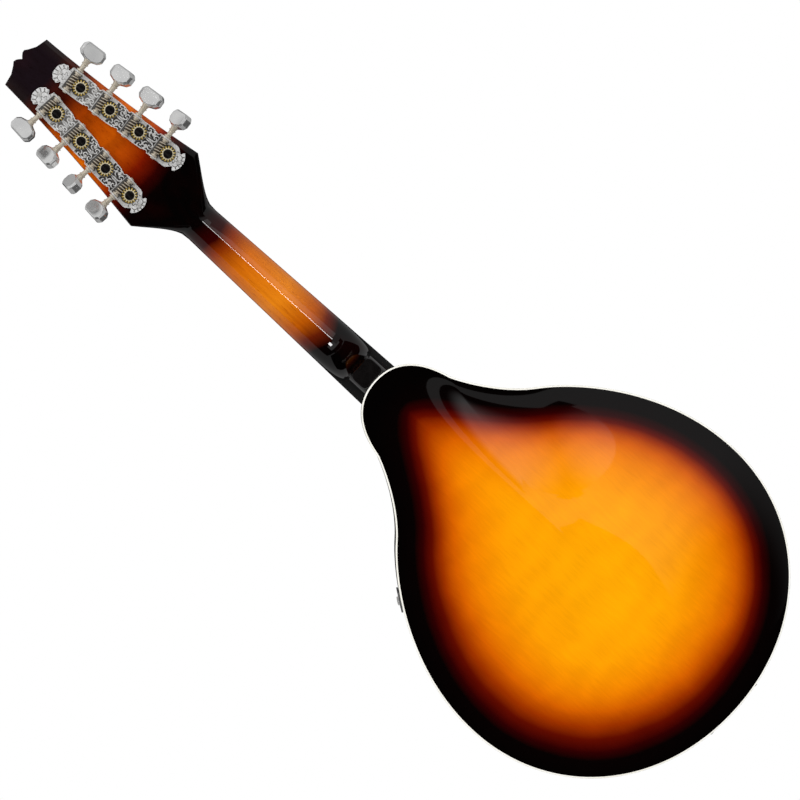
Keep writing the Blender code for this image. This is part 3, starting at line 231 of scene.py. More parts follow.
def inset(outline, distance):
    """The closed outline moved inwards along its normals."""
    way = np.roll(outline, -1, axis=0) - np.roll(outline, 1, axis=0)
    way /= np.linalg.norm(way, axis=1)[:, None]
    return outline + distance * np.stack([-way[:, 1], way[:, 0]], axis=1)


HALF = body_half()
BODY = np.vstack([HALF, HALF[-2:0:-1] * [-1, 1]])
PLATE = inset(BODY, BINDING_WIDTH)


def arch_share(share):
    """Share of the full arch: 1 on the crown, falling along half a cosine wave to 0 at the edge."""
    inner = np.clip((share - CROWN) / (1 - CROWN), 0, 1)
    return 0.5 + 0.5 * np.cos(math.pi * inner**ARCH_POWER)


def skin(rows, ends=True, ring=False):
    """Faces over a grid of points whose rows close on themselves.

    Quads join neighbours along and across. Each end is a fan about the middle of its row, or with
    `ring` the last row is joined back to the first.
    """
    rows = np.asarray(rows, float)
    count, width, _ = rows.shape
    index = np.arange(count * width).reshape(count, width)
    a, b = (index, np.roll(index, -1, 0)) if ring else (index[:-1], index[1:])
    quads = np.stack([a, np.roll(a, -1, 1), np.roll(b, -1, 1), b], -1).reshape(-1, 4)
    points, faces = rows.reshape(-1, 3), quads.tolist()
    if ends and not ring:
        points = np.vstack([points, rows[[0, -1]].mean(axis=1)])
        first, last = index[0], index[-1]
        middle = np.full(width, count * width)
        faces += np.stack([np.roll(first, -1), first, middle], -1).tolist()
        faces += np.stack([last, np.roll(last, -1), middle + 1], -1).tolist()
    return points, faces


def outward(points, faces):
    """The faces turned so that the closed shape's volume, summed over their fans, is positive."""
    volume = 0.0
    for size in (3, 4):
        chosen = np.array([face for face in faces if len(face) == size])
        for k in range(1, size - 1):
            if len(chosen):
                a, b, c = points[chosen[:, 0]], points[chosen[:, k]], points[chosen[:, k + 1]]
                volume += np.einsum("ij,ij->", a, np.cross(b, c))
    return [face[::-1] for face in faces] if volume < 0 else faces


def piece(name, shapes, material, body="body", sharp=35, bevel=0.0, replaces=()):
    """One finished piece from closed shapes, shaded smooth below the sharp angle, riding on its body."""
    shapes = [shapes] if isinstance(shapes[0], np.ndarray) else list(shapes)
    faces, count = [], 0
    for shape_points, shape_faces in shapes:
        faces += [[corner + count for corner in face] for face in outward(shape_points, shape_faces)]
        count += len(shape_points)
    mesh = bpy.data.meshes.new(name)
    mesh.from_pydata(np.vstack([points for points, _ in shapes]).tolist(), [], faces)
    mesh.shade_smooth()
    mesh.set_sharp_from_angle(angle=math.radians(sharp))
    mesh.materials.append(material)
    made = bpy.data.objects.new(name, mesh)
    scene.collection.objects.link(made)
    if bevel:
        edge = made.modifiers.new("edge", "BEVEL")
        edge.width, edge.segments, edge.angle_limit = bevel, 2, math.radians(30)
    if body:
        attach(made, body)
    if replaces:
        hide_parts(*([replaces] if isinstance(replaces, str) else replaces))
    return made


def points_of(made):
    """The places of a piece's vertices, one row for each."""
    places = np.empty(len(made.data.vertices) * 3, np.float32)
    made.data.vertices.foreach_get("co", places)
    return places.reshape(-1, 3).astype(float)


def mark(made, name, values):
    """One number at each vertex, for the material to read."""
    layer = made.data.attributes.new(name, "FLOAT", "POINT")
    layer.data.foreach_set("value", np.asarray(values, np.float32))


def finish(name, roughness, metallic=0.0, coat=0.0, coat_roughness=0.03, level=0.5):
    """A material with the fixed values of its shader, ready for colour and bump."""
    material = bpy.data.materials.new(name)
    material.use_nodes = True
    shader = material.node_tree.nodes["Principled BSDF"]
    for socket, value in (("Roughness", roughness), ("Metallic", metallic), ("Coat Weight", coat),
                          ("Coat Roughness", coat_roughness), ("Specular IOR Level", level)):
        shader.inputs[socket].default_value = value
    return material, material.node_tree, shader


def ramp(tree, factor, stops):
    """Colours at places from 0 to 1 along a factor, one (place, colour) pair for each stop."""
    stops = list(stops)
    made = add_node(tree, "ShaderNodeValToRGB", {"Fac": factor})
    while len(made.color_ramp.elements) < len(stops):
        made.color_ramp.elements.new(1.0)
    for element, (place, colour) in zip(made.color_ramp.elements, stops):
        element.position, element.color = place, (*colour[:3], 1)
    return made.outputs["Color"]


def mapped(tree, stretch):
    """Object coordinates, stretched along each axis."""
    place = add_node(tree, "ShaderNodeTexCoord").outputs["Object"]
    return add_node(tree, "ShaderNodeMapping", {"Vector": place, "Scale": stretch}).outputs["Vector"]


def noise(tree, stretch, detail, grain=0.5, distortion=0.0):
    """Cloudy noise with `stretch` clouds in a metre along each axis."""
    sockets = {"Vector": mapped(tree, stretch), "Scale": 1.0, "Detail": detail, "Roughness": grain,
               "Distortion": distortion}
    return add_node(tree, "ShaderNodeTexNoise", sockets).outputs["Fac"]


def wave(tree, axis, scale, stretch=(1, 1, 1), distortion=0.0, detail=2.0, detail_scale=1.0):
    """Bands that follow one another along an axis, made uneven by the distortion."""
    sockets = {"Vector": mapped(tree, stretch), "Scale": scale, "Distortion": distortion, "Detail": detail,
               "Detail Scale": detail_scale}
    return add_node(tree, "ShaderNodeTexWave", sockets, bands_direction=axis).outputs["Fac"]


def read_mark(tree, name):
    """The number that mark() wrote at each vertex."""
    return add_node(tree, "ShaderNodeAttribute", attribute_name=name).outputs["Fac"]


def blend_colour(tree, kind, first, second):
    """Two colours mixed in full in one of Blender's ways."""
    return add_node(tree, "ShaderNodeMix", {0: 1.0, 6: first, 7: second}, data_type="RGBA",
                    blend_type=kind).outputs[2]


def lay(tree, shader, colour, height=None, depth=0.0):
    """The colour and a small relief, its depth in metres, laid on the surface."""
    tree.links.new(colour, shader.inputs["Base Color"])
    if depth:
        made = add_node(tree, "ShaderNodeBump", {"Height": height, "Distance": depth, "Strength": 1.0})
        tree.links.new(made.outputs["Normal"], shader.inputs["Normal"])


def shifted(tree, fade, clouds, amount):
    """A fade whose place wanders by `amount` times the clouds less a half."""
    shift = add_node(tree, "ShaderNodeMath", {0: clouds, 1: -0.5}, operation="ADD").outputs[0]
    return add_node(tree, "ShaderNodeMath", {0: shift, 1: amount, 2: fade},
                    operation="MULTIPLY_ADD").outputs[0]


# The fade's colours as seen, each with its distance from the edge in millimetres.
BURST_REACH = 120
BURST = ((0, (3, 2, 2)), (13, (6, 2, 2)), (19, (44, 1, 2)), (25, (92, 12, 1)), (31, (154, 50, 0)),
         (40, (209, 94, 1)), (53, (236, 128, 2)), (78, (252, 158, 4)), (BURST_REACH, (255, 169, 5)))
CAP_START = 205 * MM


def from_chain(points, chain):
    """Least distance of each point from a chain of straight pieces."""
    start, run = chain[:-1], np.diff(chain, axis=0)
    away = points[:, None, :] - start[None]
    share = np.clip(np.einsum("ijk,jk->ij", away, run) / np.einsum("jk,jk->j", run, run), 0, 1)
    return np.linalg.norm(away - share[..., None] * run[None], axis=2).min(axis=1)


def burst(xy):
    """How far the fade has come at a point: its distance from the outline over the reach.

    In the narrow end, the distances from both flanks and from the end act together, as minus the
    logarithm of the sum of their falling exponentials, so that the amber ends in a round point.
    """
    flanks = [from_chain(xy, HALF * [side, 1]) for side in (1, -1)]
    cap = HALF[HALF[:, 1] > CAP_START]
    end = np.minimum(from_chain(xy, cap), from_chain(xy, cap * [-1, 1]))
    reach = (0.4 + 11.6 * np.clip((xy[:, 1] / MM - 60) / 80, 0, 1) ** 2) * MM
    near = np.minimum(*flanks)
    total = sum(np.exp(-(d - near) / reach) for d in (*flanks, end))
    return (near - reach * np.log(total)) / (BURST_REACH * MM)


def sunburst(name, grain):
    """Gloss lacquer over stained wood: the fade, cloudy patches, and the figure that `grain` adds."""
    material, tree, shader = finish(name, 0.4, coat=1.0, coat_roughness=0.025, level=0.0)
    clouds = noise(tree, (16, 11, 16), 3.0, 0.55)
    place = shifted(tree, read_mark(tree, "burst"), clouds, 0.035)
    colour = ramp(tree, place, [(at / BURST_REACH, paint(*seen)) for at, seen in BURST])
    patch = ramp(tree, clouds, [(0.3, (0.92, 0.89, 0.85)), (0.62, (1.02, 1.03, 1.05))])
    colour, height = grain(tree, blend_colour(tree, "MULTIPLY", colour, patch))
    ripple = noise(tree, (9, 9, 9), 1.0)
    relief = add_node(tree, "ShaderNodeMath", {0: height, 1: 0.02, 2: ripple}, operation="MULTIPLY_ADD")
    lay(tree, shader, colour, relief.outputs[0], 1.2 * MM)
    return material


def maple_grain(tree, colour):
    """Faint short flecks and a soft broad flame across the board."""
    fleck = noise(tree, (700, 60, 700), 4.0, 0.6)
    flame = wave(tree, "Y", 14.0, distortion=6.0, detail_scale=1.4)
    fine = ramp(tree, fleck, [(0.25, (0.93, 0.90, 0.86)), (0.7, (1.02, 1.02, 1.02))])
    broad = ramp(tree, flame, [(0.0, (0.965, 0.955, 0.94)), (1.0, (1.01, 1.01, 1.01))])
    return blend_colour(tree, "MULTIPLY", blend_colour(tree, "MULTIPLY", colour, fine), broad), fleck


def plate(edge, height, thickness):
    """Arched board: rings of the outline scaled to the middle, each lifted by its share of the arch.

    The rows run from the middle of the outer face over the edge to the middle of the inner face.
    """
    shares = 1 - (1 - np.linspace(0.03, 1, 40)) ** 1.35
    rings = [(s, edge + height * arch_share(s)) for s in shares]
    rings += [(s, edge + height * arch_share(s) + thickness) for s in shares[::-4]]
    return skin([np.column_stack([PLATE * s, np.full(len(PLATE), z)]) for s, z in rings])


maple = sunburst("maple_sunburst", maple_grain)
back = piece("carved_back", plate(BACK_EDGE, -BACK_ARCH, BACK_THICKNESS), maple, replaces="back_plate")

# The amber is painted lighter towards the neck and the bass side, a painted reflection of the soft
# light on the bass side.
back_xy = points_of(back)[:, :2]
fade = burst(back_xy)
painted_light_lean = (0.42 * (back_xy[:, 1] - 30 * MM) - 0.9 * back_xy[:, 0]) / (125 * MM)
in_amber = np.clip((fade - 0.16) / 0.2, 0, 1) * np.clip((0.9 - fade) / 0.4, 0, 1)
mark(back, "burst", np.clip(fade + 0.085 * np.clip(painted_light_lean, -1.2, 1.2) * in_amber, 0, 1))


# Rim
# Bent maple sides, 44 mm deep and 2.3 mm thick, black at both edges with a dark red fade between them.
# They are bent hot and glued round the blocks and the kerfed linings.

RIM_LOW, RIM_HIGH, RIM_THICKNESS = 12.0 * MM, 56.0 * MM, 2.3 * MM


def hoop(inner, section):
    """Closed hoop round the body: (share of the way to the inner line, height) pairs give its section."""
    share, height = np.array(section).T
    rows = BODY[:, None, :] + (inner - BODY)[:, None, :] * share[None, :, None]
    heights = np.broadcast_to(height[None, :, None], (len(BODY), len(section), 1))
    return skin(np.concatenate([rows, heights], axis=2), ring=True)


outer_wall = [(0, z) for z in np.linspace(RIM_LOW, RIM_HIGH, 12)]
rim = piece("bent_rim", hoop(inset(BODY, RIM_THICKNESS), outer_wall + [(1, RIM_HIGH), (1, RIM_LOW)]), maple,
            replaces="rim")
rim_z = points_of(rim)[:, 2]
from_edge = np.minimum(rim_z - RIM_LOW, RIM_HIGH - rim_z) / (RIM_HIGH - RIM_LOW) * 2
mark(rim, "burst", (4 + 17 * from_edge**1.5) / BURST_REACH)


# Binding
# Ivory-coloured plastic strip, let into the edge of the back and of the soundboard, scraped flush and
# rounded over on its outer corner.

TOP_EDGE, TOP_THICKNESS = 56.3 * MM, 4.0 * MM
TOP_FACE = TOP_EDGE + TOP_THICKNESS
BINDING_ROUND = 0.7 * MM


def two_tone(name, low, high, roughness, stretch, relief, detail=3.0, grain=0.5, stops=(0.3, 0.7), **looks):
    """A finish that wanders between two colours, with the same noise as its relief."""
    material, tree, shader = finish(name, roughness, **looks)
    clouds = noise(tree, stretch, detail, grain)
    lay(tree, shader, ramp(tree, clouds, zip(stops, (low, high))), clouds, relief)
    return material


def binding_section(low, high, rounded_high):
    """Section of the binding: square inside, its outer corner rounded at the top or the bottom."""
    turns = np.linspace(0, math.pi / 2, 5)
    square, z, into = (low, high, -BINDING_ROUND) if rounded_high else (high, low, BINDING_ROUND)
    share = BINDING_ROUND / BINDING_WIDTH
    corner = [(share * (1 - math.cos(t)), z + into * (1 - math.sin(t))) for t in turns]
    return [(0, square)] + corner + [(1, z), (1, square)]


ivory = two_tone("ivory_plastic", paint(244, 241, 230), paint(252, 250, 243), 0.28, (30, 30, 400), 0.05 * MM,
                 detail=2.0, coat=0.6)
for place, low, high in (("back", BACK_EDGE, BACK_EDGE + BACK_THICKNESS), ("top", TOP_EDGE, TOP_FACE)):
    piece(f"binding_{place}", hoop(PLATE, binding_section(low, high, place == "top")), ivory,
          replaces=f"{place}_binding")


# Soundboard
# Spruce, carved to a low arch, with two f-holes sawn through it. Its grain runs straight from the tail
# to the neck. Amber in the middle, with the same black edge as the back.

TOP_ARCH = 6.0 * MM
F_SPINE = np.array([(46, 66), (72, 98), (50, -34), (76, -2)]) * MM
F_EYES = ((F_SPINE[0], 4.8 * MM), (F_SPINE[3], 5.4 * MM))


def spruce_grain(tree, colour):
    """Fine straight lines along the board, closer and darker in places."""
    lines = wave(tree, "X", 260.0, (1, 0.03, 0.03), distortion=1.6, detail=3.0, detail_scale=1.2)
    dark = ramp(tree, lines, [(0.0, (0.80, 0.72, 0.62)), (0.35, (0.97, 0.96, 0.94)),
                              (1.0, (1.02, 1.02, 1.02))])
    return blend_colour(tree, "MULTIPLY", colour, dark), lines


def prism(outline, low, high):
    """Upright body with a flat outline."""
    return skin([np.column_stack([outline, np.full(len(outline), z)]) for z in (low, high)])


def full_turn(sides):
    """Even angles round a circle."""
    return 2 * math.pi * np.arange(sides) / sides


def circle(radius, sides, centre=(0, 0)):
    """Points round a centre."""
    turns = full_turn(sides)
    return np.stack([np.cos(turns), np.sin(turns)], axis=1) * radius + np.array(centre)


def f_slot(side):
    """S-shaped slot along a curved spine, widest in the middle, where a nick is cut on each side."""
    count, narrow, swell, nick, nick_reach = 40, 2.8 * MM, 3.7 * MM, 1.3 * MM, 0.028
    spine = np.vstack([curve(*F_SPINE, count), F_SPINE[3][None]])
    way = np.gradient(spine, axis=0)
    way /= np.linalg.norm(way, axis=1)[:, None]
    across = np.stack([-way[:, 1], way[:, 0]], axis=1)
    share = np.arange(count + 1) / count
    half = (narrow + swell * np.sin(np.pi * share) ** 0.7) / 2
    half += nick * np.clip(1 - np.abs(share - 0.5) / nick_reach, 0, 1)
    outline = np.vstack([spine + across * half[:, None], (spine - across * half[:, None])[::-1]])
    return outline * [side, 1]


def carve(made, shape):
    """Cuts a closed shape out of a piece and keeps the result as its mesh."""
    points, faces = shape
    mesh = bpy.data.meshes.new("cutter")
    mesh.from_pydata(points.tolist(), [], outward(points, faces))
    tool = bpy.data.objects.new("cutter", mesh)
    scene.collection.objects.link(tool)
    cut = made.modifiers.new("cut", "BOOLEAN")
    cut.operation, cut.solver, cut.object = "DIFFERENCE", "EXACT", tool
    graph = bpy.context.evaluated_depsgraph_get()
    result = bpy.data.meshes.new_from_object(made.evaluated_get(graph))
    made.modifiers.clear()
    made.data = result
    bpy.data.objects.remove(tool)
    result.shade_smooth()
    result.set_sharp_from_angle(angle=math.radians(35))


spruce = sunburst("spruce_sunburst", spruce_grain)
top = piece("carved_soundboard", plate(TOP_EDGE, TOP_ARCH, TOP_THICKNESS), spruce, replaces="soundboard")
SAW_LOW, SAW_HIGH = TOP_EDGE - 4 * MM, TOP_FACE + 12 * MM
for side in SIDES.values():
    carve(top, prism(f_slot(side), SAW_LOW, SAW_HIGH))
    for eye, radius in F_EYES:
        carve(top, prism(circle(radius, 40, eye * [side, 1]), SAW_LOW, SAW_HIGH))
mark(top, "burst", np.clip(burst(points_of(top)[:, :2]), 0, 1))


# Inside of the body
# Bare maple blocks, kerfed linings of basswood and spruce tone bars, glued in and left unfinished. They
# show through the f-holes.


def bare_wood(name, low, high, stretch):
    """Unfinished wood: dull, with fine streaks that follow the piece."""
    return two_tone(name, low, high, 0.75, stretch, 0.2 * MM, detail=4.0, grain=0.6, level=0.3)


def dress(node, material):
    """The material on a piece that is carried over from the CAD."""
    made = bpy.data.objects[node]
    made.data.materials.clear()
    made.data.materials.append(material)
    return made


basswood = bare_wood("basswood", paint(196, 170, 128), paint(220, 196, 152), (90, 90, 600))
block_wood = bare_wood("block_maple", paint(190, 158, 112), paint(214, 184, 138), (500, 500, 60))
bar_spruce = bare_wood("bar_spruce", paint(206, 178, 128), paint(228, 204, 156), (600, 30, 600))
for node in ("neck_block", "tail_block"):
    dress(node, block_wood)
for side in SIDES:
    dress(f"tone_bar_{side}", bar_spruce)
    for place in ("top", "back"):
        dress(f"{place}_lining_{side}", basswood)


# Neck and headstock
# One length of maple: a round-backed shaft that swells into the heel and runs on into a flat, tapered
# headstock with a scrolled tip. Sprayed black at the heel, at the nut and at the tip, amber between,
# with a painted reflection over the black of the tip.

SCALE_LENGTH, NECK_ANGLE, HEAD_ANGLE = 352 * MM, math.radians(2.2), math.radians(11.38)
JOINT_INSET = 6.0 * MM
NUT_Y = BODY_END - JOINT_INSET + SCALE_LENGTH / 2
NUT_LENGTH, NUT_SEAT = 4.8 * MM, 0.95 * MM
FRETBOARD_RISE, FRETBOARD_THICKNESS = 8.37 * MM, 5.0 * MM
FRETBOARD_WIDE, FRETBOARD_NARROW = 36.0 * MM, 28.3 * MM
SHAFT_DEPTH, SHAFT_THINNING = 16.5 * MM, 2.0 * MM
HEEL_LENGTH, HEEL_SWEEP, HEEL_FOOT_HALF = 14.0 * MM, 30 * MM, 11.2 * MM
HEEL_LOW = BACK_EDGE + 1.9 * MM
ROUND_POWER, HEEL_POWER, HEAD_POWER = 2.2, 3.3, 24
HEAD_THICKNESS, VENEER = 14.5 * MM, 1.5 * MM
HEAD_SWEEP = np.array([(14.15, 0), (15.3, 10.6), (23.4, 20.0), (35.2, 35.6)]) * MM
HEAD_BASE, HEAD_TIP = HEAD_SWEEP[-1], np.array([21.4, 166]) * MM
HEAD_WAIST, HEAD_SQUARE_AT = 1.9 * MM, 30 * MM
TIP_SCROLL = np.array([(21.4, 0), (13.2, 1.7), (8.0, 4.6), (5.4, 6.5), (3.4, 6.1), (1.7, 4.9), (0, 3.3)]) * MM
TUNER_SPACING, TUNER_FIRST_Y = 25.3 * MM, 51.8 * MM
TUNER_FIRST_HALF, TUNER_LAST_HALF = 19.9 * MM, 12.3 * MM
SHEET, AXIS_HEIGHT, WORM_OFFSET = 1.2 * MM, 3.7 * MM, 7.18 * MM
POST_HOLE, ROUND_END_POINTS = 3.2 * MM, 30


def fretboard_z(y):
    """Top of the fretboard, which falls towards the nut."""
    return TOP_FACE + FRETBOARD_RISE - (y - BODY_END) * math.tan(NECK_ANGLE)


def neck_top(y):
    """Flat top of the neck, under the fretboard."""
    return fretboard_z(y) - FRETBOARD_THICKNESS - GAP


def neck_half(y):
    """Half width of the neck and the fretboard, which narrow evenly from the body to the nut."""
    return (FRETBOARD_WIDE + (FRETBOARD_NARROW - FRETBOARD_WIDE) * (y - BODY_END) / (NUT_Y - BODY_END)) / 2


HEAD = Matrix.Translation((0, NUT_Y, neck_top(NUT_Y))) @ Matrix.Rotation(-(NECK_ANGLE + HEAD_ANGLE), 4, "X")


def moved(points, place):
    """The points taken from a frame of their own into the instrument's."""
    place = np.array(place)
    return np.asarray(points) @ place[:3, :3].T + place[:3, 3]


def at(place, shape):
    """A (points, faces) shape taken from a frame of its own into the instrument's."""
    return moved(shape[0], place), shape[1]


def head_half(y):
    """Half width of the headstock: a swept shoulder up to its widest line, then a slightly hollow taper."""
    sweep = np.vstack([curve(*HEAD_SWEEP, 30), HEAD_BASE[None]])
    share = np.clip((y - HEAD_BASE[1]) / (HEAD_TIP[1] - HEAD_BASE[1]), 0, 1)
    taper = HEAD_BASE[0] + (HEAD_TIP[0] - HEAD_BASE[0]) * share - 4 * HEAD_WAIST * share * (1 - share)
    return np.where(y < HEAD_BASE[1], np.interp(y, sweep[:, 1], sweep[:, 0]), taper)


def neck_rows():
    """Section frames along the neck: top y, top z, bottom y, bottom z, half width, lower half width, power.

    The heel's depth grows to the body as a quarter circle, and the section is a superellipse whose power
    rises from 2.2 in the shaft, nearly round, to 26 in the headstock, nearly square.
    """
    rows = []
    sweep = BODY_END + HEEL_LENGTH + HEEL_SWEEP * np.linspace(0, 1, 16) ** 1.6
    along = np.concatenate([BODY_END + np.array([0.2, 4, 9]) * MM, sweep,
                            np.linspace(sweep[-1], NUT_Y - 3 * MM, 24)[1:]])
    for y in along:
        share = np.clip((y - BODY_END - HEEL_LENGTH) / HEEL_SWEEP, 0, 1)
        deep = 1 - math.sqrt(1 - (1 - share) ** 2)
        shaft = SHAFT_DEPTH - SHAFT_THINNING * (y - BODY_END) / (NUT_Y - BODY_END)
        depth = shaft + (neck_top(y) - HEEL_LOW - shaft) * deep
        half = neck_half(y)
        rows.append((y, neck_top(y), y, neck_top(y) - depth, half, half + (HEEL_FOOT_HALF - half) * deep,
                     ROUND_POWER + HEEL_POWER * deep))
    for y in np.concatenate([[3.4, 4.9], np.linspace(7, HEAD_BASE[1] / MM, 18), np.linspace(37, 148, 30),
                             np.linspace(151, HEAD_TIP[1] / MM, 8)]) * MM:
        top = moved([(0, y, NUT_SEAT if y < NUT_LENGTH else -VENEER - 0.1 * MM)], HEAD)[0]
        low = moved([(0, y, -HEAD_THICKNESS)], HEAD)[0]
        half = float(head_half(y))
        rows.append((top[1], top[2], low[1], low[2], half, half,
                     ROUND_POWER + HEAD_POWER * min(y / HEAD_SQUARE_AT, 1) ** 2.2))
    return rows


def body_end_lift(x):
    """The body's round end at a distance from the middle line, measured from its foremost point."""
    round_end = HALF[::-1][:ROUND_END_POINTS]
    return np.interp(np.abs(x), round_end[:, 0], round_end[:, 1]) - BODY_END


def neck_shape():
    """The neck's skin: each row runs round the underside and back along the flat top.

    An underside point lies where a ray at an even angle meets the superellipse, and every top point
    lies straight over an underside point, so that the scrolled end closes without twisting.
    """
    count, scroll_rows, fit = 71, 8, 9 * MM
    angle, middle = np.linspace(0, math.pi, count), np.arange(16, 55)
    rows = []
    for top_y, top_z, low_y, low_z, half, foot, power in neck_rows():
        along, drop = np.cos(angle), np.sin(angle)
        reach = (np.abs(along) ** power + np.abs(drop) ** power) ** (-1 / power)
        along, drop = along * reach, drop * reach
        drop[[0, -1]] = 0
        x = np.concatenate([along * (half + (foot - half) * drop), along[middle][::-1] * half])
        drop = np.concatenate([drop, np.zeros(len(middle))])
        rows.append(np.stack([x, top_y + (low_y - top_y) * drop, top_z + (low_z - top_z) * drop], axis=1))
    rows = np.array(rows)
    for k, share in zip(range(-scroll_rows, 0), np.linspace(0.12, 1, scroll_rows) ** 1.5):
        tip = np.interp(np.abs(rows[k, :, 0]), TIP_SCROLL[::-1, 0], TIP_SCROLL[::-1, 1])
        rows[k] += share * tip[:, None] * np.array(HEAD)[:3, 1]
    rows[:, :, 1] += body_end_lift(rows[:, :, 0]) * np.clip(1 - (rows[:, :, 1] - BODY_END) / fit, 0, 1)
    points, faces = skin(rows, ends=False)
    for start in (0, (len(rows) - 1) * rows.shape[1]):
        low = [start + int(k) for k in middle]
        high = [start + count + k for k in range(len(middle))][::-1]
        caps = [[a, b, d, c] for a, b, c, d in zip(low, low[1:], high, high[1:])]
        caps += [list(range(start, low[0] + 1)) + [high[0]], list(range(low[-1], start + count)) + [high[-1]]]
        faces += caps if start else [face[::-1] for face in caps]
    return points, faces


# Colours as seen, each with its place in millimetres: the instrument's Y along the shaft, and the
# distance from the nut along the headstock.
NECK_FADE = ((250, (3, 2, 2)), (258, (8, 2, 2)), (268, (100, 29, 7)), (280, (183, 86, 6)),
             (305, (224, 128, 20)), (340, (204, 104, 10)), (358, (136, 50, 6)), (368, (48, 2, 2)),
             (384, (3, 2, 2)))
# The last stop, a dark gray over the tip's black, is a painted reflection.
HEAD_FADE_AND_TIP_REFLECTION = ((40, (3, 2, 2)), (49, (44, 3, 0)), (61, (120, 24, 1)), (75, (172, 68, 5)), (88, (184, 80, 5)),
             (111, (164, 64, 4)), (128, (80, 22, 8)), (148, (24, 16, 21)))


def along_fade(fade, place):
    """Share of the way from a fade's first stop to its last, for places in millimetres."""
    return np.clip((place - fade[0][0]) / (fade[-1][0] - fade[0][0]), 0, 1)


neck_lacquer, tree, shader = finish("neck_sunburst", 0.4, coat=1.0, coat_roughness=0.025, level=0.0)
clouds = noise(tree, (45, 30, 45), 2.0)
stains = []
for name, fade in (("shaft_fade", NECK_FADE), ("head_fade", HEAD_FADE_AND_TIP_REFLECTION)):
    stops = [(along_fade(fade, y), paint(*seen)) for y, seen in fade]
    stains.append(ramp(tree, shifted(tree, read_mark(tree, name), clouds, 0.05), stops))
colour = blend_colour(tree, "LIGHTEN", *stains)
pores = noise(tree, (1500, 110, 1500), 3.0, 0.7)
streaks = noise(tree, (420, 16, 420), 3.0)
# The middle layer lightens the headstock's edges: a painted highlight.
for layer in (ramp(tree, pores, [(0.30, (0.62, 0.5, 0.4)), (0.42, (1, 1, 1))]),
              ramp(tree, read_mark(tree, "edge_glow"), [(0.0, (1, 1, 1)), (1.0, (1.5, 1.75, 1.3))]),
              ramp(tree, streaks, [(0.3, (0.88, 0.84, 0.78)), (0.7, (1.04, 1.04, 1.04))])):
    colour = blend_colour(tree, "MULTIPLY", colour, layer)
lay(tree, shader, colour, streaks, 0.04 * MM)

neck = piece("neck_and_headstock", neck_shape(), neck_lacquer, sharp=40, replaces="neck")


def strip_frame(side):
    """Frame on a strip's outer face at the post nearest the nut: X leaves the edge, Y runs to the tip."""
    sign = SIDES[side]
    taper = math.asin((TUNER_FIRST_HALF - TUNER_LAST_HALF) / (3 * TUNER_SPACING))
    place = Matrix.Translation((sign * TUNER_FIRST_HALF, TUNER_FIRST_Y, -(HEAD_THICKNESS + GAP + SHEET)))
    return (HEAD @ place @ Matrix.Rotation(sign * taper, 4, "Z")
            @ Matrix.Rotation(0 if sign > 0 else math.pi, 4, "Y"))


def tuner_frame(side, number):
    """The strip's frame moved on to one of its four posts."""
    return strip_frame(side) @ Matrix.Translation((0, number * TUNER_SPACING, 0))


for side in SIDES:
    for number in range(4):
        carve(neck, at(tuner_frame(side, number), prism(circle(POST_HOLE, 32), -30 * MM, 30 * MM)))

# The bright line along the shaft and the spot over the heel are mirrored by the neck alone. The back
# would show them as a streak.
neck_only = bpy.data.collections.new("neck_only")
neck_only.objects.link(neck)
card("line_card", (-0.43, 0.1, -2.27), (-0.36, 0.56, -2.27), 22.0, only=neck_only)
card("spot_card", (0.05, 0.58, -2.26), (0.4, 1.02, -2.26), 22.0, only=neck_only)

# Both fades bend back at the sides of the neck, and the headstock's edges are painted lighter, a
# painted highlight.
neck_points = points_of(neck)
in_head = moved(neck_points, HEAD.inverted())
mark(neck, "shaft_fade", along_fade(NECK_FADE, (neck_points[:, 1] - np.abs(neck_points[:, 0]) * 0.35) / MM))
mark(neck, "head_fade", along_fade(HEAD_FADE_AND_TIP_REFLECTION, (in_head[:, 1] - np.abs(in_head[:, 0]) * 0.10) / MM))
to_edge = np.abs(in_head[:, 0]) / head_half(np.clip(in_head[:, 1], 0, None))
mark(neck, "edge_glow", np.clip((to_edge - 0.6) / 0.3, 0, 1) * (in_head[:, 1] > 45 * MM))


# Tongue of the neck
# Tapered maple strip that carries the fretboard over the soundboard. It is one with the neck, follows
# the arch of the soundboard with its underside, and ends under the last fret.

FRETS, TONGUE_HALF, TONGUE_LIFT = 18, 17 * MM, 0.4 * MM


def fret_y(number):
    """Place of a fret: each is a twelfth of an octave nearer to the bridge."""
    return NUT_Y - SCALE_LENGTH * (1 - 2 ** (-number / 12))


def ridge_z(y):
    """Height of the soundboard on its middle line, towards the neck."""
    shares = np.linspace(0.1, 1, 30)
    return np.interp(y, PLATE[len(HALF) - 1, 1] * shares, TOP_FACE + TOP_ARCH * arch_share(shares))


tongue_rows = []
for y in np.linspace(fret_y(FRETS) - 3 * MM, BODY_END - 0.5 * MM, 12):
    low, high = ridge_z(y) + TONGUE_LIFT, neck_top(y)
    tongue_rows.append([(-TONGUE_HALF, y, low), (TONGUE_HALF, y, low), (TONGUE_HALF, y, high),
                        (-TONGUE_HALF, y, high)])
piece("neck_tongue", skin(tongue_rows), neck_lacquer)


# Heel cap
# Small black plate glued over the foot of the heel, with rounded outer corners, its inner edge hollowed
# to meet the end of the body.

CAP_HALF, CAP_LENGTH, CAP_THICKNESS, CAP_ROUND = 9.8 * MM, 14 * MM, 1.6 * MM, 4.5 * MM
black_plastic = two_tone("black_plastic", paint(5, 3, 3), paint(13, 10, 10), 0.22, (220, 220, 220), 0.03 * MM,
                         coat=0.8)


def round_corners(corners, radius, steps=7):
    """Closed outline with each corner replaced by a curve that starts `radius` before it."""
    corners = np.asarray(corners, float)
    points = []
    for k, corner in enumerate(corners):
        before, after = corners[k - 1] - corner, corners[(k + 1) % len(corners)] - corner
        cut = min(radius, np.linalg.norm(before) * 0.48, np.linalg.norm(after) * 0.48)
        a = corner + before / np.linalg.norm(before) * cut
        b = corner + after / np.linalg.norm(after) * cut
        t = np.linspace(0, 1, steps)[:, None]
        points.append((1 - t) ** 2 * a + 2 * t * (1 - t) * corner + t * t * b)
    return np.vstack(points)


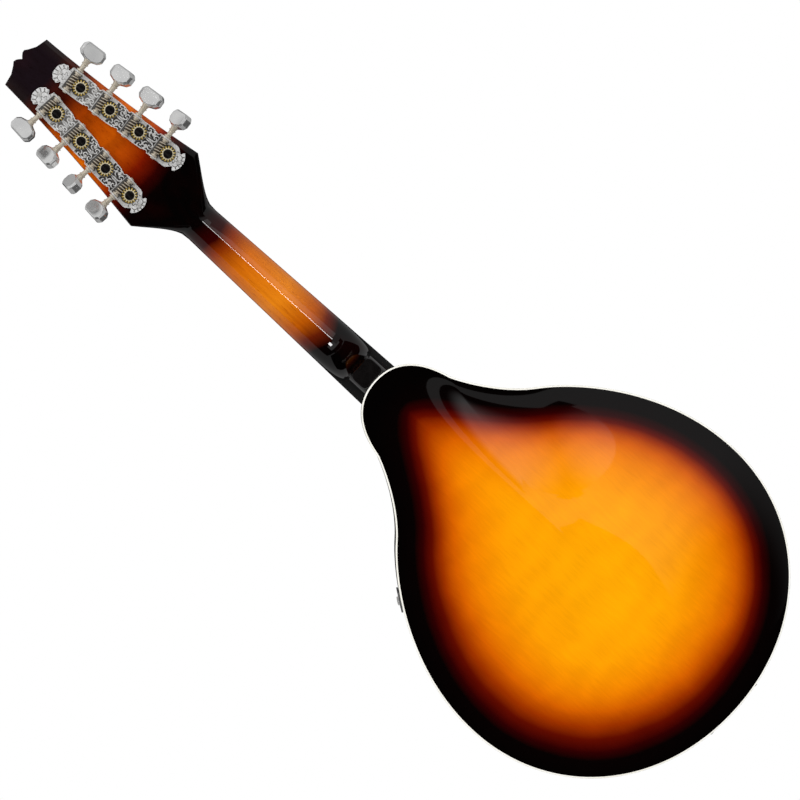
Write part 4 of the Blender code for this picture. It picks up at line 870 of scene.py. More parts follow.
cap_y, cap_foot = BODY_END + 0.7 * MM, CAP_HALF - 0.2 * MM
cap = round_corners([(-CAP_HALF, cap_y), (CAP_HALF, cap_y), (cap_foot, cap_y + CAP_LENGTH),
                     (-cap_foot, cap_y + CAP_LENGTH)], CAP_ROUND)
cap[:, 1] += body_end_lift(cap[:, 0]) * np.clip(1 - (cap[:, 1] - cap_y) / (6 * MM), 0, 1)
piece("heel_cap_plate", prism(cap, BACK_EDGE, BACK_EDGE + CAP_THICKNESS), black_plastic, bevel=0.35 * MM,
      replaces="heel_cap")


# Tuners
# Two nickel strips, each with four keys. The strips are pressed with scrolls, and their ears are bent up
# and bored for the shafts. Every worm turns a brass gear, held on its post by a black screw.

EAR_LENGTH, EAR_CREST, EAR_ROUND, PLATE_HALF = 9 * MM, 3.0 * MM, 3.2 * MM, 8.75 * MM
PRESSED_DEPTH, STRIP_ROUND = 0.28 * MM, 0.25 * MM
GEAR_TEETH, GEAR_RADIUS, GEAR_HUB, TOOTH_ROOT, TOOTH_HEIGHT = 15, 5.03 * MM, 3.5 * MM, 0.9 * MM, 1.47 * MM
WORM_PITCH, WORM_TURNS, WORM_RADIUS = 2.107 * MM, 5, 2.15 * MM
THREAD_ROOT, THREAD_HEIGHT = 0.75 * MM, 1.25 * MM
BUTTON_START, BUTTON_LONG, BUTTON_WIDE, BUTTON_THICK = 18.0 * MM, 11.8 * MM, 18.4 * MM, 7.4 * MM
BUTTON_OUTLINE = np.array([(0.0, 0.26), (0.14, 0.76), (0.36, 1.0), (0.76, 1.0), (0.95, 0.80), (1.0, 0.66)])
BUTTON_TURNS = {"treble": (45, 70, 45, 20), "bass": (-60, -30, -35, 0)}
POST_STAND, WAIST_STAND = 13 * MM, 5.5 * MM
POST_REACH = AXIS_HEIGHT + SHEET + GAP + HEAD_THICKNESS + POST_STAND
STRING_WAIST = POST_REACH - POST_STAND + WAIST_STAND
FOOT_OUTLINE = ((-13.4, 0.4), (-13.1, 2.6), (-12.5, 4.4), (-11.8, 5.6), (-10.9, 6.9), (-10.0, 7.6),
                (-9.2, 7.2), (-8.4, 5.5), (-7.6, 5.3), (-6.4, 6.6), (-4.5, 8.3), (-3.0, 8.75))
WAIST_OUTLINE = ((1.0, 7.5), (2.4, 7.2), (3.0, 7.8), (4.6, 7.9), (5.2, 8.5))
TIP_OUTLINE = ((1.0, 5.4), (1.8, 5.0), (2.8, 6.6), (3.8, 7.5), (4.7, 7.2), (5.3, 6.7), (6.4, 6.9), (7.4, 6.1),
               (8.1, 4.9), (8.9, 4.4), (9.6, 2.9), (9.9, 0.3))


def metal(name, low, high, roughness, metallic=0.8, scale=400, relief=0.02 * MM):
    """Plated or bare metal with faint wear."""
    return two_tone(name, low, high, roughness, (scale,) * 3, relief, metallic=metallic)


def marked_metal(name, roughness, metallic, mark_name, stops, scale, detail=2.0, rubbed=None):
    """Metal coloured by a mark on its surface, with faint wear as its relief.

    With `rubbed`, two colours, the mark only darkens a metal that wanders between them.
    """
    material, tree, shader = finish(name, roughness, metallic=metallic)
    wear = noise(tree, (scale,) * 3, detail)
    colour = ramp(tree, read_mark(tree, mark_name), stops)
    if rubbed:
        colour = blend_colour(tree, "MULTIPLY", ramp(tree, wear, zip((0.3, 0.7), rubbed)), colour)
    lay(tree, shader, colour, wear, 0.03 * MM)
    return material


# Painted shade: the pressed nickel is darkened nearly to black in its sunk ground, most where it is deepest.
PRESSED_RECESS_SHADE = ((0.08, (1, 1, 1)), (0.4, (0.24, 0.23, 0.22)), (1.0, (0.04, 0.035, 0.035)))
BRASS_TONES = ((0.35, paint(236, 228, 204)), (0.62, paint(214, 190, 104)), (1.0, paint(196, 162, 66)))
# The worm steel is painted darker in its thread's grooves: painted shade.
STEEL_AND_GROOVE_SHADE = ((0.2, paint(208, 198, 180)), (0.7, paint(132, 118, 98)), (1.0, paint(82, 70, 56)))
nickel = marked_metal("pressed_nickel", 0.32, 0.3, "recess", PRESSED_RECESS_SHADE, 500, detail=3.0,
                      rubbed=(paint(206, 206, 206), paint(240, 240, 239)))
brass = marked_metal("gear_brass", 0.35, 0.45, "rim", BRASS_TONES, 600)
worm_steel = marked_metal("worm_steel", 0.3, 0.5, "recess", STEEL_AND_GROOVE_SHADE, 900)
chrome = metal("chrome", paint(228, 228, 228), paint(240, 240, 239), 0.14, metallic=0.88, scale=120,
               relief=0.004 * MM)
bright = metal("bright_nickel", paint(228, 227, 224), paint(248, 247, 245), 0.26, metallic=0.6)
black_steel = metal("black_steel", paint(8, 6, 6), paint(18, 13, 12), 0.35, metallic=0.2)


def plate_width(y):
    """Half width of the strip: scalloped foot, a lobe at each gear with a narrow waist beyond it, fan tip."""
    points, ear_end = list(FOOT_OUTLINE), (WORM_OFFSET + EAR_LENGTH / 2) / MM
    for number in range(4):
        base = TUNER_SPACING / MM * number
        points += [(base - 2.4, PLATE_HALF / MM), (base + ear_end + 0.3, PLATE_HALF / MM)]
        beyond = WAIST_OUTLINE if number < 3 else TIP_OUTLINE
        points += [(base + ear_end + ahead, half) for ahead, half in beyond]
    points = np.array(points) * MM
    return np.interp(y, points[:, 0], points[:, 1])


def scrolls(x, y):
    """Depth of the pressed ground, 0 to 1, with the raised scrolls left out of it.

    The scrolls are the crests of cos(2 pi r / step - 2 turn) about three centres, mirrored in the strip's
    middle line, with a pointed leaf between them. The foot and the tip have a flower, a wavy vein and
    short flutes instead, and the ground is also sunk round each gear and under each worm.
    """
    inside = np.clip((plate_width(y) / MM - np.abs(x / MM) - 0.55) / 0.35, 0, 1)
    x, y = np.abs(x / MM), y / MM
    spacing, worm_place, gear_well = TUNER_SPACING / MM, WORM_OFFSET / MM, 6.3
    total = np.zeros_like(x)
    # Each section's depth also sets how dark its painted shade is.
    for number, deep in enumerate((1.0, 0.9, 0.42)):
        low, high = spacing * number + 10.8, spacing * (number + 1) - 5.4
        middle = (low + high) / 2
        zone = np.clip((y - low) / 0.5, 0, 1) * np.clip((high + 3.6 - y) / 0.8, 0, 1)
        crest = np.zeros_like(x)
        for cx, cy, step, way in ((4.6, 1.2, 2.7, 1), (3.2, -2.6, 2.3, -1), (6.2, 4.4, 2.4, -1)):
            ahead = y - (middle + cy)
            r, turn = np.hypot(x - cx, ahead), np.arctan2(ahead, x - cx)
            arm = np.cos(2 * math.pi * r / step - way * 2 * turn + number)
            crest = np.maximum(crest, np.clip(arm * 2.0, 0, 1) * np.clip((3.0 - r) * 2, 0, 1))
        leaf = 1.5 - np.abs(y - middle - 0.6) * 0.3
        crest = np.maximum(crest, np.clip((leaf - x) * 3, 0, 1) * np.clip((x - 0.12) * 8, 0, 1))
        total = np.maximum(total, deep * zone * (1 - crest))
    for cy, way, deep in ((-6.2, -1, 0.6), (88.4, 1, 0.42)):
        ahead = (y - cy) * way
        r, turn = np.hypot(x, ahead), np.arctan2(x, ahead)
        flower = np.clip(1.3 - np.abs(r - 2.3 - 0.7 * np.cos(turn * 5)) * 2.4, 0, 1)
        vein = np.clip(1.2 - np.abs(r - 4.9 - 0.8 * np.abs(np.cos(turn * 4))) * 2.6, 0, 1)
        flute = np.clip(np.cos(turn * 16) * 3 - 1.4, 0, 1) * np.clip((r - 5.2) * 2, 0, 1)
        total = np.maximum(total, deep * np.maximum(np.maximum(flower, vein), flute) * (ahead > -1.5))
    # The wells round each gear and under each worm are painted dark as well: painted shade.
    for number in range(4):
        r = np.hypot(x, y - spacing * number)
        total = np.maximum(total * np.clip((r - 6.2) / 0.4, 0, 1), 0.8 * np.clip((gear_well - r) * 3, 0, 1))
        worm_away = np.abs(y - (spacing * number + worm_place))
        total = np.maximum(total, 0.6 * np.clip((3.6 - worm_away) * 2, 0, 1) * (x < 7.4))
    return total * inside


def strip_plate(back):
    """The strip as rows across it, pressed from the side away from the wood. `back` is that side's sign."""
    ys = np.linspace(-13.3, 97.4, 370) * MM
    across = np.sin(np.linspace(-1, 1, 59) * math.pi / 2 * 0.7) / math.sin(math.pi / 2 * 0.7)
    x = across[None, :] * plate_width(ys)[:, None]
    y = np.broadcast_to(ys[:, None], x.shape)
    deep = scrolls(x, y)
    edge = STRIP_ROUND * np.clip(1 - (1 - np.abs(across)) / 0.05, 0, 1)[None, :] ** 2
    outer = np.stack([x, y, back * (-deep * PRESSED_DEPTH - edge)], axis=2)
    inner = np.stack([x, y, np.full(x.shape, -back * SHEET)], axis=2)[:, ::-1][:, ::29]
    # The depth is kept as a mark for the material's painted shade.
    painted_shade_marks = np.concatenate([deep, np.zeros(inner.shape[:2])], axis=1).ravel()
    return skin(np.concatenate([outer, inner], axis=1)), np.concatenate([painted_shade_marks, [0, 0]])


def ring_at(radius, turns, height):
    """Points round Z at those angles. All three may be arrays, which then give one ring for each row."""
    x, y = radius * np.cos(turns), radius * np.sin(turns)
    return np.stack([x, y, np.broadcast_to(height, x.shape)], axis=-1)


def lathe(profile, sides):
    """Body turned about Z from (radius, height) pairs in millimetres."""
    radius, height = (np.array(profile) * MM).T[:, :, None]
    return skin(ring_at(radius, full_turn(sides), height))


def set_at(shape, offset, axes=(0, 1, 2), signs=(1, 1, 1)):
    """The shape with its axes changed round and turned, then set at a place."""
    return shape[0][:, list(axes)] * signs + offset, shape[1]


def ear(edge, y, back):
    """Bent-up ear at one edge of the strip: straight foot, round head over the shaft's bore."""
    top, half, foot = AXIS_HEIGHT + EAR_CREST, EAR_LENGTH / 2, -0.6 * MM
    turns = np.linspace(0, math.pi, 15)
    head = np.stack([np.cos(turns) * half, top - EAR_ROUND + np.sin(turns) * EAR_ROUND], axis=1)
    outline = np.vstack([[(half, foot)], head, [(-half, foot)]])
    inner, rounding = PLATE_HALF - SHEET, 0.2 * MM
    rows = []
    for x, grow in ((inner, 0.96), (inner + rounding, 1), (PLATE_HALF - rounding, 1), (PLATE_HALF, 0.96)):
        rows.append(np.column_stack([np.full(len(outline), x * edge), outline[:, 0] * grow + y,
                                     back * outline[:, 1] * grow]))
    return skin(rows)


def worm():
    """Shaft along X with its thread: the radius follows the phase, x over the pitch less the turn.

    The shaft's plain parts are (x, radius) pairs in millimetres: a collar on each side of both ears, and
    the beads and the socket before the button.
    """
    turns, half = full_turn(32), WORM_PITCH * WORM_TURNS / 2
    xs = np.linspace(-half - 0.3 * MM, half + 0.3 * MM, 120)[:, None]
    phase = np.abs((xs / WORM_PITCH - turns / (2 * math.pi) + 0.5) % 1 - 0.5) * 2
    crest = np.clip((phase - 0.48) / 0.28, 0, 1)
    fade = np.clip((half - np.abs(xs)) / (0.7 * MM), 0, 1)
    thread = ring_at(WORM_RADIUS - THREAD_ROOT + THREAD_HEIGHT * crest * fade, turns, xs)
    end, inner, outer = half / MM, (PLATE_HALF - SHEET) / MM, PLATE_HALF / MM
    near = ((-outer - 0.8, 1.2), (-outer - 0.6, 1.5), (-inner + 0.2, 1.5), (-inner + 0.25, 2.4),
            (-end - 0.9, 2.4), (-end - 0.8, 1.4))
    far = ((end + 0.8, 1.4), (end + 0.9, 2.4), (inner - 0.25, 2.4), (inner - 0.2, 1.9), (outer + 0.2, 1.9),
           (outer + 0.25, 2.8), (outer + 1.4, 2.8), (outer + 1.6, 1.75), (13.2, 1.85), (14.6, 1.9),
           (14.7, 2.4), (14.9, 2.55), (15.3, 2.55), (15.5, 2.4), (15.6, 2.0), (17.0, 2.3), (18.3, 3.0),
           (20.9, 3.0))
    plain = [ring_at(np.array(part)[:, 1:] * MM, turns, np.array(part)[:, :1] * MM) for part in (near, far)]
    rows = np.concatenate([plain[0], thread, plain[1]])[..., [2, 0, 1]]
    # The grooves between the crests are marked for painted shade.
    painted_groove_shade = [np.zeros(len(near) * 32), ((1 - crest) * fade).ravel(), np.zeros(len(far) * 32 + 2)]
    return skin(rows), np.concatenate(painted_groove_shade)


def button():
    """Oval button with ground facets: scaled copies of its outline, stacked through its thickness."""
    along, wide = BUTTON_OUTLINE[:, 0] * BUTTON_LONG, BUTTON_OUTLINE[:, 1] * BUTTON_WIDE / 2
    outline = np.vstack([np.column_stack([along, wide]), np.column_stack([along, -wide])[::-1]])
    centre = np.array([BUTTON_LONG * 0.54, 0])
    rows = []
    for level, scale in ((-1, 0.84), (-0.62, 1.0), (0.62, 1.0), (1, 0.84)):
        flat = centre + (outline - centre) * scale + [BUTTON_START, 0]
        rows.append(np.column_stack([flat, np.full(len(flat), level * BUTTON_THICK / 2)]))
    return skin(rows)


def gear():
    """Toothed wheel: each tooth is a bump of the radius, slanted a little across the wheel's face."""
    turns, half, chamfer = full_turn(GEAR_TEETH * 16), 1.2 * MM, 0.15 * MM
    rows, rim = [], []
    for z, grow in ((-half, None), (-half, -chamfer), (-half + chamfer, 0), (0, 0), (half - chamfer, 0),
                    (half, -chamfer), (half, None)):
        slant = z * WORM_PITCH / (2 * math.pi * WORM_RADIUS) / GEAR_RADIUS
        tooth = np.cos((turns - math.pi / 2 - slant) * GEAR_TEETH + math.pi)
        radius = np.full(len(turns), GEAR_HUB)
        if grow is not None:
            radius = GEAR_RADIUS - TOOTH_ROOT + TOOTH_HEIGHT * np.clip(tooth * 1.6 + 0.05, 0, 1) + grow
        rows.append(ring_at(radius, turns, z))
        rim.append(np.full(len(turns), grow is not None))
    return skin(rows), np.concatenate(rim + [[0, 0]])


def screw(radius, height, slot=0.45 * MM):
    """Domed head with a straight slot, as rows up from its seat; the slot is a dip across the dome."""
    dome = np.array([(1.0, 0), (1.0, 0.35), (0.93, 0.7), (0.8, 0.88), (0.6, 0.96), (0.4, 0.99), (0.2, 1.0),
                     (0.06, 1.0)])
    share, rise = dome[:, :1], dome[:, 1:]
    rows = ring_at(radius * share, full_turn(40), height * rise)
    rows[..., 2] -= np.clip(1.6 - np.abs(rows[..., 0]) / slot, 0, 1) * (rise > 0.8) * height * 0.55
    return skin(rows)


# The far card and the two cards beside it are mirrored by the tuners alone. The heel would show them as
# gray patches.
tuners_only = bpy.data.collections.new("tuners_only")
card("far_card", (-2.4, 2.6, -2.3), (2.4, 2.6, 1.0), 0.62, only=tuners_only)
card("button_card", (-0.4, -0.45, -2.36), (0.3, 0.1, -2.36), 0.5, only=tuners_only)
card("key_card", (-0.9, 1.7, -2.36), (0.9, 2.6, -2.36), 0.62, only=tuners_only)

POST_PROFILE = [(2.7, -1.0), (3.0, -1.2)]
POST_PROFILE += [(radius, -STRING_WAIST / MM + rise) for radius, rise in
                 ((3.0, 2.6), (2.6, 1.2), (2.5, 0), (2.6, -1.2), (3.0, -2.6))]
POST_PROFILE += [(radius, -POST_REACH / MM + rise) for radius, rise in ((3.0, 1.2), (2.6, 0.4), (1.8, 0))]
BUSHING_PROFILE = ((3.1, 0.02), (5.2, 0.02), (5.3, 0.3), (4.6, 0.9), (3.5, 1.1), (3.1, 1.0))
for side, sign in SIDES.items():
    back = -sign
    shape, recess = strip_plate(back)
    strip = piece(f"tuner_strip_{side}", at(strip_frame(side), shape), nickel, sharp=50,
                  replaces=f"tuner_plate_{side}")
    mark(strip, "recess", recess)
    tuners_only.objects.link(strip)
    posts = [number * TUNER_SPACING for number in range(4)]
    ears = [ear(edge, y + WORM_OFFSET, back) for y in posts for edge in (-1, 1)]
    rivet, plate_screw = screw(1.35 * MM, 0.55 * MM, 0.2 * MM), screw(1.6 * MM, 0.8 * MM, 0.22 * MM)
    screws = [set_at(rivet, (x, y + 15.4 * MM, -0.1 * MM * back), signs=(1, 1, back))
              for y in posts[:3] for x in (-4.9 * MM, 4.9 * MM)]
    screws += [set_at(plate_screw, (0, y, 0), signs=(1, 1, back)) for y in (-10.2 * MM, 93.4 * MM)]
    for name, shapes, sharp in (("ears", ears, 35), ("screws", screws, 50)):
        piece(f"strip_{name}_{side}", [at(strip_frame(side), shape) for shape in shapes], bright, sharp=sharp)
    for number in range(4):
        name, turn = f"{side}_{number + 1}", math.radians(BUTTON_TURNS[side][number])
        at_gear = tuner_frame(side, number) @ Matrix.Translation((0, 0, back * AXIS_HEIGHT))
        at_gear = at_gear @ Matrix.Rotation(turn / GEAR_TEETH, 4, "Z")
        hub = at_gear @ Matrix.Rotation(0 if back > 0 else math.pi, 4, "X")
        shape, rim_mark = gear()
        wheel = piece(f"gear_{name}", at(at_gear, shape), brass, body=f"post_{name}", sharp=50)
        mark(wheel, "rim", rim_mark)
        piece(f"post_shaft_{name}", at(hub, lathe(POST_PROFILE, 40)), bright, body=f"post_{name}",
              replaces=f"tuner_post_{name}")
        piece(f"gear_screw_{name}", at(hub, set_at(screw(3.35 * MM, 1.1 * MM), (0, 0, 1.15 * MM))),
              black_steel, body=f"post_{name}", sharp=50)
        at_key = tuner_frame(side, number) @ Matrix.Translation((0, WORM_OFFSET, back * AXIS_HEIGHT))
        at_key = at_key @ Matrix.Rotation(turn, 4, "X")
        shape, painted_groove_shade = worm()
        shaft = piece(f"worm_{name}", at(at_key, shape), worm_steel, body=f"key_{name}", sharp=50,
                      replaces=f"tuner_key_{name}")
        mark(shaft, "recess", painted_groove_shade)
        knob = piece(f"button_{name}", at(at_key, button()), chrome, body=f"key_{name}", sharp=14,
                     bevel=0.3 * MM)
        for made in (knob, wheel, shaft):
            tuners_only.objects.link(made)
        centre = (HEAD.inverted() @ tuner_frame(side, number)).translation
        piece(f"bushing_{name}", at(HEAD, set_at(lathe(BUSHING_PROFILE, 40), (centre.x, centre.y, 0))),
              bright)


# Fretboard, frets and nut
# Rosewood board glued to the neck and floating over the soundboard, with eighteen pressed-in frets of
# nickel silver, pearl dots, and a bone nut with a slot for each string.

BOARD_ROUND = 0.4 * MM
FRET_HALF, FRET_CROWN, FRET_TANG, FRET_BEVEL = 1.1 * MM, 1.05 * MM, 0.3 * MM, 0.7 * MM
FACE_DOTS = ((5, (0,)), (7, (0,)), (10, (0,)), (12, (-5.5, 5.5)), (15, (0,)))
FACE_DOT, SIDE_DOT = ((3.0, -0.5), (3.0, 0.02), (2.9, 0.06)), ((1.0, -0.4), (1.0, 0.02), (0.9, 0.06))
SIDE_DOT_DROP = 2.4 * MM

rosewood, tree, shader = finish("rosewood", 0.5, level=0.35)
figure, pores = noise(tree, (340, 12, 340), 5.0, 0.62, distortion=0.4), noise(tree, (1600, 120, 1600), 2.0)
wood = ramp(tree, figure, [(0.28, paint(34, 18, 13)), (0.5, paint(66, 37, 26)), (0.75, paint(96, 56, 38))])
holes = ramp(tree, pores, [(0.32, (0.45, 0.42, 0.4)), (0.45, (1, 1, 1))])
lay(tree, shader, blend_colour(tree, "MULTIPLY", wood, holes), pores, 0.15 * MM)

board_rows = []
for y in np.linspace(fret_y(FRETS) - 5 * MM, NUT_Y - GAP, 24):
    half, high = neck_half(y), fretboard_z(y)
    low, shoulder, flat = high - FRETBOARD_THICKNESS, high - BOARD_ROUND, half - BOARD_ROUND
    board_rows.append([(-half, y, low), (half, y, low), (half, y, shoulder), (flat, y, high),
                       (-flat, y, high), (-half, y, shoulder)])
piece("fretboard_board", skin(board_rows), rosewood, replaces="fretboard")


def fret(number):
    """Half-round wire over a tang, in rows across the board, its crown filed down at both ends."""
    y, turns = fret_y(number), np.linspace(0, math.pi, 9)
    half, base = neck_half(y) - 0.1 * MM, fretboard_z(y)
    crown = np.column_stack([np.cos(turns) * FRET_HALF, np.sin(turns) * FRET_CROWN])
    section = np.vstack([crown, [(-FRET_TANG, -0.8 * MM), (FRET_TANG, -0.8 * MM)]])
    rows = []
    for x, lift in ((-half, 0.35), (-half + FRET_BEVEL, 1), (half - FRET_BEVEL, 1), (half, 0.35)):
        up = np.where(section[:, 1] > 0, section[:, 1] * lift, section[:, 1])
        rows.append(np.column_stack([np.full(len(section), x), y + section[:, 0], base + up]))
    return skin(rows)


fret_silver = metal("fret_silver", paint(196, 194, 186), paint(222, 220, 212), 0.24, metallic=0.9)
piece("frets", [fret(number) for number in range(1, FRETS + 1)], fret_silver, sharp=50)

pearl = two_tone("pearl_dot", paint(214, 222, 220), paint(246, 240, 236), 0.2, (300, 300, 300), 0.0,
                 detail=2.0, stops=(0.35, 0.65), coat=1.0)
dots = []
for number, places in FACE_DOTS:
    y = (fret_y(number) + fret_y(number - 1)) / 2
    dots += [set_at(lathe(FACE_DOT, 32), (x * MM, y, fretboard_z(y))) for x in places]
    dots.append(set_at(lathe(SIDE_DOT, 20), (-neck_half(y), y, fretboard_z(y) - SIDE_DOT_DROP),
                       axes=(2, 0, 1), signs=(-1, 1, 1)))
piece("position_dots", dots, pearl)


def soften(node, material, width, angle=35):
    """A carried-over piece with its material, its edges broken by a small round."""
    made = dress(node, material)
    edge = made.modifiers.new("edge", "BEVEL")
    edge.width, edge.segments = width, 2
    edge.limit_method, edge.angle_limit = "ANGLE", math.radians(angle)


bone = two_tone("bone", paint(226, 216, 190), paint(244, 237, 218), 0.4, (120, 900, 900), 0.04 * MM)
soften("nut", bone, 0.15 * MM)
dress("truss_rod", metal("rod_steel", paint(110, 110, 112), paint(150, 150, 150), 0.4))


# Headstock face
# Thin black veneer over the front of the headstock, and a bell-shaped black cover, held by three
# screws, over the end of the truss rod.

COVER_FACE = 2.08 * MM
COVER_SCREWS = ((0, 31.5), (-5.6, 9.6), (5.6, 9.6))

soften("headstock_veneer", black_plastic, 0.25 * MM)
soften("truss_rod_cover", black_plastic, 0.3 * MM)
cover_screw = screw(1.4 * MM, 0.8 * MM, 0.2 * MM)
cover_screws = [at(HEAD, set_at(cover_screw, (x * MM, y * MM, COVER_FACE))) for x, y in COVER_SCREWS]
piece("rod_cover_screws", cover_screws, bright, sharp=50)


# Bridge
# Rosewood foot fitted to the soundboard, with two threaded brass posts. Two knurled wheels on the posts
# carry the slotted rosewood saddle and set its height.

BRIDGE_Y = fret_y(12) - SCALE_LENGTH / 2
BASE_TOP = TOP_FACE + TOP_ARCH + 5 * MM
WHEEL_LOW, WHEEL_HIGH, WHEEL_RADIUS, WHEEL_BORE = 72.6 * MM, 74.4 * MM, 5.5 * MM, 1.6 * MM
KNURLS, KNURL_DEPTH, WHEEL_ROUND = 36, 0.28 * MM, 0.4 * MM
BRIDGE_SCREW_HALF, BRIDGE_SCREW_RADIUS, BRIDGE_SCREW_PITCH = 35 * MM, 1.4 * MM, 0.7 * MM

soften("bridge_base", rosewood, 0.5 * MM, angle=50)
soften("bridge_saddle", rosewood, 0.2 * MM)
yellow_brass = metal("yellow_brass", paint(196, 160, 88), paint(224, 192, 120), 0.3)


def threaded(low, high):
    """Upright screw: the radius follows a zig-zag of height over the pitch less the turn."""
    turns = full_turn(20)
    z = np.linspace(low, high, int((high - low) / BRIDGE_SCREW_PITCH * 6))[:, None]
    phase = np.abs((z / BRIDGE_SCREW_PITCH - turns / (2 * math.pi)) % 1 - 0.5) * 2
    radius = BRIDGE_SCREW_RADIUS * (0.84 + 0.16 * phase)
    radius[[0, -1]] *= 0.9
    return skin(ring_at(radius, turns, z))


def knurled():
    """Wheel with a toothed rim and a bore: a closed ring of sections, its rim notched by a cosine."""
    turns = full_turn(144)
    notch = KNURL_DEPTH * (0.5 + 0.5 * np.cos(turns * KNURLS))
    flat, eye = WHEEL_RADIUS - WHEEL_ROUND, WHEEL_BORE + 0.3 * MM
    section = ((flat, WHEEL_LOW, 0), (WHEEL_RADIUS, WHEEL_LOW + 0.35 * MM, 1),
               (WHEEL_RADIUS, WHEEL_HIGH - 0.35 * MM, 1), (flat, WHEEL_HIGH, 0), (eye, WHEEL_HIGH, 0),
               (WHEEL_BORE, WHEEL_HIGH - 0.2 * MM, 0), (WHEEL_BORE, WHEEL_LOW + 0.2 * MM, 0),
               (eye, WHEEL_LOW, 0))
    return skin([ring_at(radius - notch * share, turns, z) for radius, z, share in section], ring=True)


for side, sign in SIDES.items():
    centre = (sign * BRIDGE_SCREW_HALF, BRIDGE_Y, 0)
    piece(f"bridge_screw_{side}", set_at(threaded(BASE_TOP - 3.2 * MM, WHEEL_HIGH + 3 * MM), centre),
          yellow_brass, sharp=60, replaces=f"bridge_post_{side}")
    piece(f"knurled_wheel_{side}", set_at(knurled(), centre), yellow_brass, body=f"thumbwheel_{side}",
          replaces=f"thumbwheel_{side}")


# Tailpiece
# Stamped nickel sheet bent down over the tail and screwed to the rim, with a row of hooks for the
# strings' loops, under a cover with two pressed beads that slides off towards the tail.

TAIL = Matrix.Translation((0, -TAIL_LENGTH - GAP, TOP_FACE + GAP)) @ Matrix.Rotation(math.radians(5), 4, "X")
COVER_HALF, COVER_WALL, COVER_HEIGHT, COVER_ROUND = 25.3 * MM, 1.0 * MM, 9 * MM, 3 * MM
COVER_START, COVER_END, COVER_BOW = -1 * MM, 58 * MM, 0.5 * MM
BEADS, BEAD_HEIGHT, BEAD_REACH = (6 * MM, 51 * MM), 0.5 * MM, 1 * MM
TAIL_SCREWS = ((-16, 51), (16, 51), (0, 34))

plated = metal("plated_nickel", paint(206, 205, 202), paint(232, 231, 228), 0.2, metallic=0.9, scale=90,
               relief=0.001 * MM)
soften("tailpiece_base", plated, 0.2 * MM)


def cover_shape():
    """Cover: an open channel section along Y, rounded at the shoulders, with a strip of quads on each end.

    Its top is bowed up along half a sine wave to the middle. Two beads are pressed across it, where the
    top is raised by their height times exp(-(distance from the bead / reach) squared).
    """
    turns = np.linspace(0, math.pi / 2, 9)
    round_middle = np.array([COVER_HALF - COVER_ROUND, COVER_HEIGHT - COVER_ROUND])
    corner = np.column_stack([np.cos(turns), np.sin(turns)])
    side, inner = round_middle + COVER_ROUND * corner, round_middle + (COVER_ROUND - COVER_WALL) * corner
    foot = COVER_HALF - COVER_WALL
    section = np.vstack([[(COVER_HALF, 0)], side, side[::-1] * [-1, 1], [(-COVER_HALF, 0)],
                         [(-foot, 0)], inner * [-1, 1], inner[::-1], [(foot, 0)]])
    rows = []
    for y in np.linspace(COVER_START, COVER_END, 119):
        rise = COVER_BOW * math.sin(math.pi * (y - COVER_START) / (COVER_END - COVER_START))
        rise += sum(BEAD_HEIGHT * math.exp(-((y - bead) / BEAD_REACH) ** 2) for bead in BEADS)
        lift = np.where(section[:, 1] > COVER_WALL, rise, 0)
        rows.append(np.column_stack([section[:, 0], np.full(len(section), y), section[:, 1] + lift]))
    points, faces = skin(rows, ends=False)
    width = len(section)
    for start in (0, (len(rows) - 1) * width):
        pairs = [(start + k, start + width - 1 - k) for k in range(width // 2)]
        caps = [[a, c, d, b] for (a, b), (c, d) in zip(pairs, pairs[1:])]
        faces += caps if start else [face[::-1] for face in caps]
    return points, faces


piece("tailpiece_lid", at(TAIL, cover_shape()), plated, body="tailpiece_cover", replaces="tailpiece_cover")
tail_screw, screw_y = screw(2.6 * MM, 1.3 * MM, 0.35 * MM), -TAIL_LENGTH - GAP - SHEET + 0.05 * MM
piece("tail_screws", [set_at(tail_screw, (x * MM, screw_y, z * MM), axes=(0, 2, 1), signs=(1, -1, 1))
                      for x, z in TAIL_SCREWS], bright, sharp=50)


# Strings
# Four pairs of steel strings, the two lower pairs wound with bronze. Each is looped on a hook, runs over
# the saddle and the nut, and is wound three times round its post.

STRING_RADII = (0.14 * MM, 0.19 * MM, 0.33 * MM, 0.5 * MM)
PAIR_SPREAD, AT_BRIDGE, AT_NUT = 2.6 * MM, 39 * MM, 22.5 * MM
RISE_AT_NUT, RISE_AT_JOINT = 1.7 * MM, 3.1 * MM
HOOK_Y, HOOK_Z, SADDLE_REACH = 16 * MM + GAP, SHEET + 1.6 * MM, 3.2 * MM
POST_WAIST_RADIUS, WINDING_TURNS, WINDING_DROP, WINDING_GAP = 2.5 * MM, 3, 1.2 * MM, 0.12 * MM
LOOP_Y, LOOP_HALF, LOOP_LONG, LOOP_OPEN = 14.9 * MM, 1.25 * MM, 1.9 * MM, 0.15

bare_steel = metal("bare_steel", paint(176, 176, 178), paint(214, 214, 214), 0.25)
bronze, tree, shader = finish("wound_bronze", 0.3, metallic=0.85)
wraps = wave(tree, "Y", 700.0)
tones = ramp(tree, wraps, [(0.1, paint(120, 84, 48)), (0.6, paint(206, 164, 108))])
lay(tree, shader, tones, wraps, 0.08 * MM)


def string_xs(spread):
    """Places of the strings across the neck, bass to treble, in four pairs."""
    outer = (spread - PAIR_SPREAD) / 2
    return [outer * (2 * pair / 3 - 1) + PAIR_SPREAD * half for pair in range(4) for half in (-0.5, 0.5)]


def string_z(y):
    """Height of the strings' undersides, which rise evenly from the nut to the saddle."""
    nut, joint = fretboard_z(NUT_Y) + RISE_AT_NUT, fretboard_z(BODY_END) + RISE_AT_JOINT
    return nut + (joint - nut) * (NUT_Y - y) / (NUT_Y - BODY_END)


